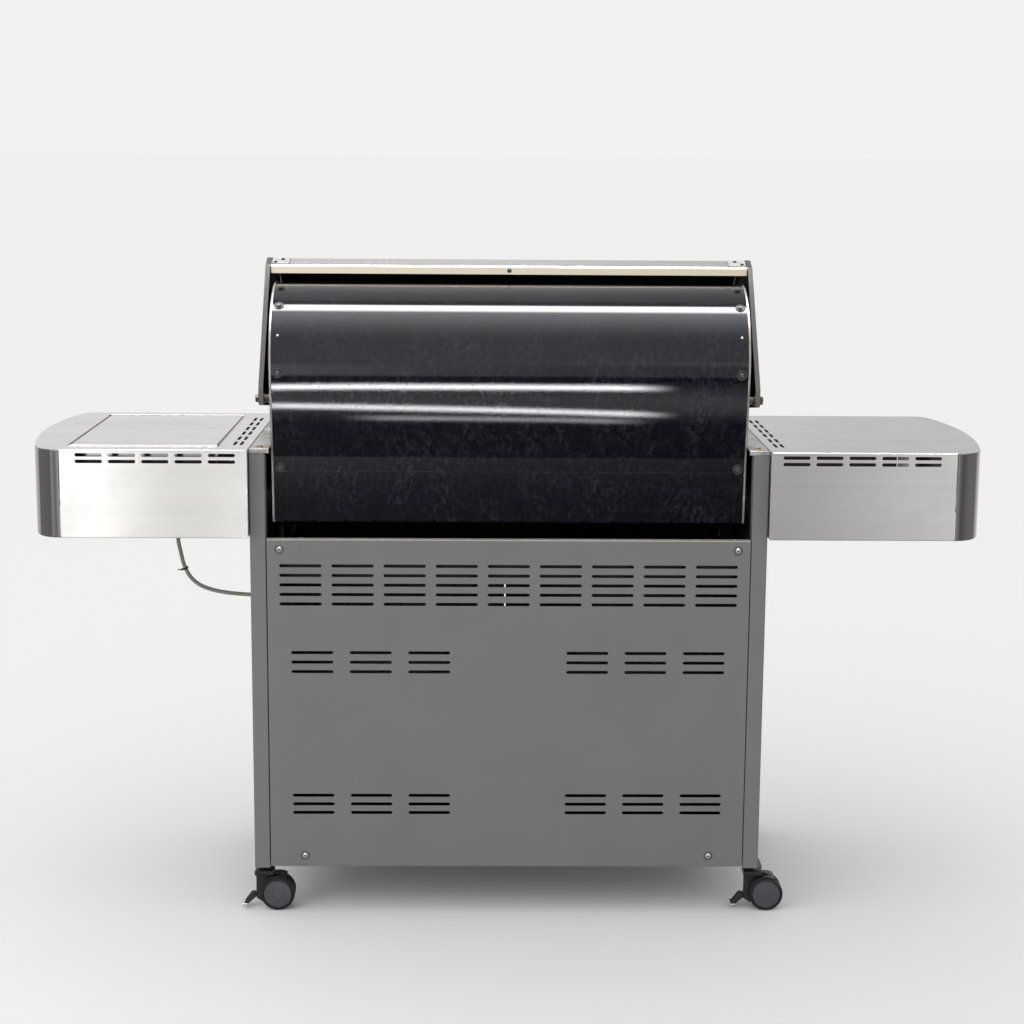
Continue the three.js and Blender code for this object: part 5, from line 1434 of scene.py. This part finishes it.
def door(name, side):
    """A pressed door, its back darkened with painted shade, and its pull."""
    low, high = sorted((side * DOOR["inner"], side * DOOR["outer"]))
    mesh = front_box(low, high, DOOR["bottom"], DOOR["top"], DOOR["near"], DOOR["far"], 5)
    # Faces that look into the cart take the dark steel: painted shade.
    for face in mesh.polygons:
        if face.normal.y > 0.5:
            face.material_index = 1
    looks = [STAINLESS_UP, DOOR_BACK_SHADE_STEEL]
    piece(f"door_sheet_{name}", mesh, looks, f"{name}_door", "stainless", [f"door_{name}"], 40)
    x, depth = side * DOOR_HANDLE["x"], DOOR_HANDLE["depth"]
    ends = at(x, depth, DOOR_HANDLE["bottom"]), at(x, depth, DOOR_HANDLE["top"])
    posts = [ends[0] + mm(0, 0, DOOR_HANDLE["post"]), ends[1] - mm(0, 0, DOOR_HANDLE["post"])]
    bar_handle(f"door_pull_{name}", f"{name}_door", f"door_handle_{name}", *ends, posts,
               DOOR_HANDLE["radius"], 9, lambda p: Vector((p.x, to_y(DOOR["far"]) - 0.0002, p.z)))


def drawer():
    """The drip drawer's front with a trimmed hand slot."""
    slot_height = DRAWER_FRONT["top"] - HAND_SLOT["drop"]
    hand = slot_outline(0, slot_height, HAND_SLOT["length"], HAND_SLOT["height"], 14)
    mesh = front_box(-DOOR["outer"], DOOR["outer"], DRAWER_FRONT["bottom"], DRAWER_FRONT["top"], DOOR["near"],
                     DOOR["far"], 5, [hand])
    piece("drawer_front_sheet", mesh, STAINLESS, "drawer", "stainless", ["drawer_front"], 40)
    inner = slot_outline(0, 0, HAND_SLOT["length"] - 2.6, HAND_SLOT["height"] - 2.6, 14)
    outer = slot_outline(0, 0, HAND_SLOT["length"] + 5, HAND_SLOT["height"] + 5, 14)
    trim = punched(outer, [inner], 1.6, 0.6)
    place = Matrix.Translation((0, 0, mm(slot_height))) @ upright(DOOR["far"] + 0.6)
    piece("drawer_slot_trim", merged((trim, place)), BLACK_PLASTIC, "drawer", "black_plastic")


def hood_handle():
    """The hood's bar on two posts that stand on the curved skin."""
    height = HANDLE["height"]
    ends = [at(side * HANDLE["half"], HANDLE["depth"], height) for _, side in SIDES]
    posts = [at(side * HANDLE["post"], HANDLE["depth"], height) for _, side in SIDES]
    rise = height - HOOD["height"]
    skin = HOOD["depth"] + math.sqrt(HOOD["radius"] ** 2 - rise ** 2)
    bar_handle("hood_bar", "hood", "hood_handle", *ends, posts, HANDLE["radius"], 17,
               lambda p: Vector((p.x, to_y(skin + 0.3), p.z)))


def dial_marks(face):
    """The dial's ticks and its readings, in millimetres from its middle, placed by the matrix of its face."""
    marks = []
    start = DIAL["start"]
    for i in range(DIAL["marks"] + 1):
        major = i % 5 == 0
        long = 4.2 if major else 2.2
        a = math.radians(start - DIAL["sweep"] / DIAL["marks"] * i)
        reach = DIAL["outside"] - long / 2
        spot = Matrix.Translation(mm(reach * math.cos(a), reach * math.sin(a), 1.3))
        tick = block((long, 0.75 if major else 0.4, 0.2))
        marks.append((tick, face @ spot @ Matrix.Rotation(a, 4, "Z")))
    readings = range(50, 351, 50)
    for i, reading in enumerate(readings):
        a = math.radians(start - DIAL["sweep"] / (len(readings) - 1) * i)
        text = bpy.data.curves.new(f"reading_{reading}", "FONT")
        text.body, text.size = str(reading), DIAL["text"]
        text.align_x, text.align_y = "CENTER", "CENTER"
        text.extrude = 0.0001
        ob = bpy.data.objects.new("reading", text)
        scene.collection.objects.link(ob)
        graph = bpy.context.evaluated_depsgraph_get()
        mesh = bpy.data.meshes.new_from_object(ob.evaluated_get(graph))
        bpy.data.objects.remove(ob)
        spot = Matrix.Translation(mm(DIAL["text_at"] * math.cos(a), DIAL["text_at"] * math.sin(a), 1.3))
        marks.append((mesh, face @ spot))
    return marks


def thermometer():
    """The thermometer on the hood's front: case, dial, marks, hand and glass."""
    angle = math.radians(THERMOMETER_ANGLE)
    out = Vector((0, -math.cos(angle), math.sin(angle)))
    centre = at(0, HOOD["depth"], HOOD["height"]) + out * mm(HOOD["radius"] + 0.4)
    turn = aim(centre, out)
    rim = lathe([(27, 1), (27, 9.4), (28.2, 11.6), (30, 12.6), (32, 12.2), (33.6, 10.6), (34, 8), (34, 3),
                 (33, 0), (0, 0), (0, 1), (27, 1)], 72)
    piece("thermometer_case", merged((rim, turn)), CHROME, "hood", "chrome", ["thermometer"], 35)
    dial = rod(27, 0, 1.2, 64)
    face = turn @ Matrix.Translation((0, 0, mm(7.4)))
    piece("thermometer_dial", merged((dial, face)), DIAL_FACE, "hood", "chrome")
    piece("thermometer_marks", merged(*dial_marks(face)), DIAL_INK, "hood", "chrome")
    hand = punched([(-6, -1.4), (20, -0.35), (20, 0.35), (-6, 1.4)], [], 0.5, 0.1)
    cap = lathe([(0, 0), (3, 0), (3, 1.2), (2.2, 1.8), (0, 1.8)], 28)
    turned = Matrix.Rotation(math.radians(DIAL["needle"]), 4, "Z")
    reading = face @ Matrix.Translation((0, 0, mm(2.0))) @ turned
    piece("thermometer_hand", merged((hand, reading), (cap, reading)), NEEDLE_RED, "hood", "chrome")
    lens = lathe([(0, 0), (27, 0), (27, 0.4), (20, 1.0), (10, 1.35), (0, 1.45)], 64)
    mesh = merged((lens, turn @ Matrix.Translation((0, 0, mm(10.8)))))
    piece("thermometer_glass", mesh, GLASS, "hood", "chrome", (), 60)


control_panel()
for index, knob_x in enumerate(spread(KNOB["count"], KNOB["pitch"])):
    knob(f"burner_knob_{index + 1}", f"main_knob_{index + 1}", f"knob_{index + 1}", knob_x, KNOB["near"],
         KNOB["height"])
knob("side_knob_grip", "side_knob", "side_burner_knob", SIDE_KNOB["x"], SIDE_KNOB["near"],
     SIDE_KNOB["height"])
igniter()
for side_name, side_sign in SIDES:
    door(side_name, side_sign)
# The grease tray's dark steel is grease, and painted shade where the rear slots look into the cart.
dress("grease_tray", GREASE_AND_SHADE_STEEL, 1.0)
drawer()
hood_handle()
thermometer()
dress("gas_manifold", BRASS, 0.6)

# ------------------------------------------------------------------ cooking parts

GRATE = {"count": 2, "pitch": 448.5, "half": 222.6, "near": 68, "far": 498, "bottom": 896, "top": 906,
         "bars": 16, "bar": 8}
RACK = {"half": 436, "near": 95, "far": 235, "height": 1088.5, "wires": 24, "reach": 448, "frame": 2.5,
        "wire": 1.7}
BURNER = {"count": 5, "pitch": 175, "height": 842, "near": 76, "far": 478, "wide": 36, "tall": 20,
          "neck": 516, "bore": 8.2, "ports": 36, "port_pitch": 10.5, "port": 1.2}
BURNER_CAP = {"depth": 255, "flutes": 40, "flute_at": 45, "flute_height": 41}


def cooking_grate(index, x):
    """Cast grate: bars that taper downwards, one cross rib and a frame around them."""
    half, near, far = GRATE["half"], GRATE["near"], GRATE["far"]
    low, high = GRATE["bottom"], GRATE["top"]

    width = GRATE["bar"]

    def bar(across):
        return [(across - width * 0.28, low), (across + width * 0.28, low), (across + width / 2, high - 2.4),
                (across + width * 0.36, high), (across - width * 0.36, high),
                (across - width / 2, high - 2.4)]

    parts = []
    step = (2 * half - width) / GRATE["bars"]
    for i in range(GRATE["bars"] + 1):
        parts.append(plain(prism(bar(x - half + width / 2 + i * step), near, far, along_depth)))
    for depth in (near + width / 2, (near + far) / 2, far - width / 2):
        section = [(a, b - 0.4) for a, b in bar(depth)]
        parts.append(plain(prism(section, x - half, x + half, along_x)))
    piece(f"cast_grate_{index}", merged(*parts), CAST_IRON, "cart", "cast_iron", [f"cooking_grate_{index}"],
          35, bevel=0.6)


def warming_rack():
    """A wire rack: a frame, thinner wires across it, and four ends that rest in the end plates."""
    half, near, far, z = RACK["half"], RACK["near"], RACK["far"], RACK["height"]
    r = mm(RACK["frame"])
    wire = []
    frame_line = [at(-half, near + 3, z), at(half, near + 3, z), at(half, far - 3, z), at(-half, far - 3, z)]
    wire.append(plain(tube(smooth_corners(frame_line, 8), r, 14, closed=True)))
    for x in spread(RACK["wires"], 2 * half / (RACK["wires"] + 1)):
        wire.append(plain(tube([at(x, near + 3, z), at(x, far - 3, z)], mm(RACK["wire"]), 12)))
    for _, side in SIDES:
        for depth in (near + 6, far - 6):
            ends = [at(side * half, depth, z), at(side * (RACK["reach"] - 0.4), depth, z)]
            wire.append(plain(tube(ends, r, 14)))
    piece("rack_wires", merged(*wire), CHROME, "cart", "chrome", ["warming_rack"], 50)


def burner(index, x):
    """A pressed tube burner with a row of ports along each side and a round neck."""
    z, near, far = BURNER["height"], BURNER["near"], BURNER["far"]
    body = block((BURNER["wide"], far - near, BURNER["tall"]), 7, 4)
    tray = Matrix.Translation(at(x, (near + far) / 2, z))
    port = rod(BURNER["port"], -3, 3, 10)
    ports = []
    for side in (-1, 1):
        for depth in spread(BURNER["ports"], BURNER["port_pitch"]):
            spot = at(x + side * (BURNER["wide"] / 2 - 2.6), (near + far) / 2 + depth, z + 8)
            ports.append(aim(spot, (side, 0, 0.8)))
    shell = cut(merged((body, tray)), stamp(port, ports))
    bore, long = BURNER["bore"], BURNER["neck"] - far + 6
    neck = lathe([(9.6, 0), (9.6, long), (bore, long), (bore, 0), (9.6, 0)], 36)
    flange = lathe([(bore, 0), (10.2, 0), (10.2, 1.4), (bore, 1.4), (bore, 0)], 36)
    parts = [plain(shell), (neck, aim(at(x, far - 6, z), (0, -1, 0))),
             (flange, aim(at(x, BURNER["neck"] - 2, z), (0, -1, 0)))]
    piece(f"burner_tube_{index}", merged(*parts), STAINLESS, "cart", "stainless", [f"burner_{index}"],
          35)


def side_burner_head():
    """A cast head with a fluted cap of flame ports."""
    x, depth, z = SIDE_KNOB["x"], BURNER_CAP["depth"], SIDE_KNOB["height"]
    base = lathe([(0, 0), (14, 0), (17.6, 2), (17.6, 30), (20, 31.5), (39, 34), (42, 36), (42, 38.5),
                  (0, 38.5)], 64)
    flute = block((3.4, 1.6, 5))
    cap = lathe([(0, 50), (20, 49.6), (37, 48), (44, 45.6), (45.8, 43.6), (45.8, 41), (44, 40), (41.5, 39.4),
                 (41.5, 38.4), (0, 38.4)], 72)
    cuts = []
    for i in range(BURNER_CAP["flutes"]):
        turn = Matrix.Rotation(2 * math.pi * i / BURNER_CAP["flutes"], 4, "Z")
        cuts.append(turn @ Matrix.Translation(mm(BURNER_CAP["flute_at"], 0, BURNER_CAP["flute_height"])))
    cap = cut(cap, stamp(flute, cuts))
    place = Matrix.Translation(at(x, depth, z))
    piece("side_burner_cap", merged((base, place), (cap, place)), CAST_IRON, "cart", "cast_iron",
          ["side_burner_head"], 35)


for index, grate_x in enumerate(spread(GRATE["count"], GRATE["pitch"])):
    cooking_grate(index + 1, grate_x)
warming_rack()
for index, burner_x in enumerate(spread(BURNER["count"], BURNER["pitch"])):
    burner(index + 1, burner_x)
side_burner_head()

# ------------------------------------------------------------------ studio

# The world's tone follows a direction's x, y and z, each from -1 to 1. A band is (from, to) along one of
# them, and a tone changes smoothly inside it.
WALL = 0.89                          # tone of the room above the horizon
HORIZON = (-0.05, -0.01)             # z between the floor's tones and the wall's
DEEP = {"band": (-0.34, -0.27), "level": 0.09}
FRONT = {"band": (-0.75, -0.45), "rise": (-0.5, 0.0), "level": 0.35}
DIM_SIDE = {"height": (0.07, 0.12), "width": (-0.20, 0.02), "less": 0.28}
# Light strips low down: their direction's z, its reach up and down, radiance, x from and to, rise with x.
FLOOR_GLEAMS = ((-0.3690, 0.005, 44, -0.10, 0.140, 0.00), (-0.4080, 0.005, 32, -0.10, 0.125, 0.07),
                (-0.4240, 0.004, 10, -0.09, 0.07, 0.03), (-0.3920, 0.040, 0.8, -0.30, 0.30, 0.0))
GLEAM = {"fade": 0.03, "rear": (0.1, 0.3)}
# Tone of the surroundings below the horizon against the direction's x.
FLOOR_TONE = ((-0.999, 0.30), (-0.6, 0.18), (-0.42, 0.45), (-0.26, 1.0), (-0.218, 0.88), (-0.18, 0.66),
              (-0.148, 0.50), (-0.09, 0.58), (0.02, 0.85), (0.098, 1.30), (0.112, 1.90), (0.120, 1.15),
              (0.155, 1.02), (0.166, 1.20), (0.176, 1.99), (0.25, 1.99), (0.36, 0.55), (0.50, 0.30),
              (0.72, 0.62), (0.80, 0.22), (0.999, 0.30))
TONE_RANGE = 2.0                     # of FLOOR_TONE, because a colour ramp's own tones end at 1
# Overhead, seen in glossy rays only: a strip, a glow that thins out towards the rear, and a dark ceiling.
STRIP = {"radiance": 19.0, "band": (0.07, 0.17)}
GLOW = {"radiance": 2.6, "band": (0.10, 0.85)}
OVERHEAD = {"front": (-0.115, -0.05), "low": (0.35, 0.6), "left": (-0.6, -0.45), "right": (0.45, 0.6)}
CEILING = {"low": (0.55, 0.75), "less": 0.75, "front": (-0.30, -0.16), "rear": (-0.12, -0.06)}
DIFFUSE_GAIN = 1.17                  # brings the floor's tone and the wall's together
WHITE = (1.0, 0.998, 0.995, 1)
FLOOR_HALF = 900                     # metres
SOFTBOX = {"place": (2.3, 2.1, 1.3), "look_at": (0.3, 0.29, 0.6), "size": (1.3, 1.3), "radiance": 1.8}


def make_world():
    """A soft pale studio: toned walls and floor line, low gleams, and an overhead strip for glossy rays."""
    world = bpy.data.worlds.new("studio")
    world.use_nodes = True
    scene.world = world
    tree = world.node_tree

    def node(kind, inputs, **settings):
        made = tree.nodes.new(kind)
        for key, value in settings.items():
            setattr(made, key, value)
        for key, value in inputs.items():
            if isinstance(value, bpy.types.NodeSocket):
                tree.links.new(value, made.inputs[key])
            else:
                made.inputs[key].default_value = value
        return made.outputs[0]

    def combine(operation, first, *others):
        for other in others:
            first = node("ShaderNodeMath", {0: first, 1: other}, operation=operation)
        return first

    def product(*factors):
        return combine("MULTIPLY", *factors)

    def total(*terms):
        return combine("ADD", *terms)

    def fade(value, band, before=0.0, after=1.0, kind="SMOOTHSTEP"):
        limits = {0: value, 1: band[0], 2: band[1], 3: before, 4: after}
        return node("ShaderNodeMapRange", limits, interpolation_type=kind)

    direction = tree.nodes.new("ShaderNodeTexCoord").outputs["Generated"]
    split = tree.nodes.new("ShaderNodeSeparateXYZ")
    tree.links.new(direction, split.inputs[0])
    x, y, z = split.outputs
    ramp = tree.nodes.new("ShaderNodeValToRGB")
    tree.links.new(fade(x, (-1.0, 1.0), kind="LINEAR"), ramp.inputs[0])
    stops = ramp.color_ramp.elements
    for position, level in FLOOR_TONE:
        stop = stops.new((position + 1) / 2)
        stop.color = (*[level / TONE_RANGE] * 3, 1)
    stops.remove(stops[0])
    stops.remove(stops[-1])
    floor_line = total(product(ramp.outputs[0], TONE_RANGE), -WALL)
    room = total(product(floor_line, fade(z, HORIZON, 1.0, 0.0)), WALL)
    room = product(room, fade(z, DEEP["band"], DEEP["level"], 1.0))
    front = product(fade(y, FRONT["band"], 1.0, 0.0), fade(z, FRONT["rise"], FRONT["level"], WALL))
    dim_side = product(fade(z, DIM_SIDE["height"]), fade(x, DIM_SIDE["width"], 1.0, 0.0), -DIM_SIDE["less"])
    strength = product(total(front, product(room, fade(y, FRONT["band"]))), total(dim_side, 1.0))
    for centre, reach, radiance, left, right, rise in FLOOR_GLEAMS:
        level = total(z, product(x, -rise))
        gleam = product(fade(level, (centre, centre + reach), 1.0, 0.0),
                        fade(level, (centre - reach, centre)),
                        fade(x, (left, left + GLEAM["fade"])),
                        fade(x, (right - GLEAM["fade"], right), 1.0, 0.0),
                        fade(y, GLEAM["rear"], 0.0, radiance))
        strength = total(strength, gleam)
    rays = tree.nodes.new("ShaderNodeLightPath")
    glossy = rays.outputs["Is Glossy Ray"]
    lamps = total(fade(y, GLOW["band"], GLOW["radiance"], 0.0),
                  fade(y, STRIP["band"], STRIP["radiance"], 0.0))
    overhead = product(lamps, fade(y, OVERHEAD["front"]), fade(z, OVERHEAD["low"]), fade(x, OVERHEAD["left"]),
                       fade(x, OVERHEAD["right"], 1.0, 0.0), glossy)
    ceiling = product(fade(z, CEILING["low"], 0.0, CEILING["less"]), fade(y, CEILING["front"]),
                      fade(y, CEILING["rear"], 1.0, 0.0), glossy)
    strength = product(total(strength, overhead), combine("SUBTRACT", 1.0, ceiling),
                       fade(rays.outputs["Is Diffuse Ray"], (0.0, 1.0), 1.0, DIFFUSE_GAIN, "LINEAR"))
    background = tree.nodes["Background"]
    background.inputs["Color"].default_value = WHITE
    tree.links.new(strength, background.inputs["Strength"])


def make_floor():
    """A pale matt floor, left out of mirror reflections so that the world's tones show in them."""
    far = FLOOR_HALF
    mesh = bpy.data.meshes.new("floor")
    mesh.from_pydata([(-far, -far, 0), (far, -far, 0), (far, far, 0), (-far, far, 0)], [], [(0, 1, 2, 3)])
    pale = Finish("pale_floor", (0.97, 0.97, 0.965), 0.9, Specular_IOR_Level=0.0)
    mesh.materials.append(pale.material)
    floor = bpy.data.objects.new("floor", mesh)
    floor.visible_glossy = False
    scene.collection.objects.link(floor)


make_world()
make_floor()
area_light("side_softbox", **SOFTBOX)
scene.view_settings.view_transform = "Standard"
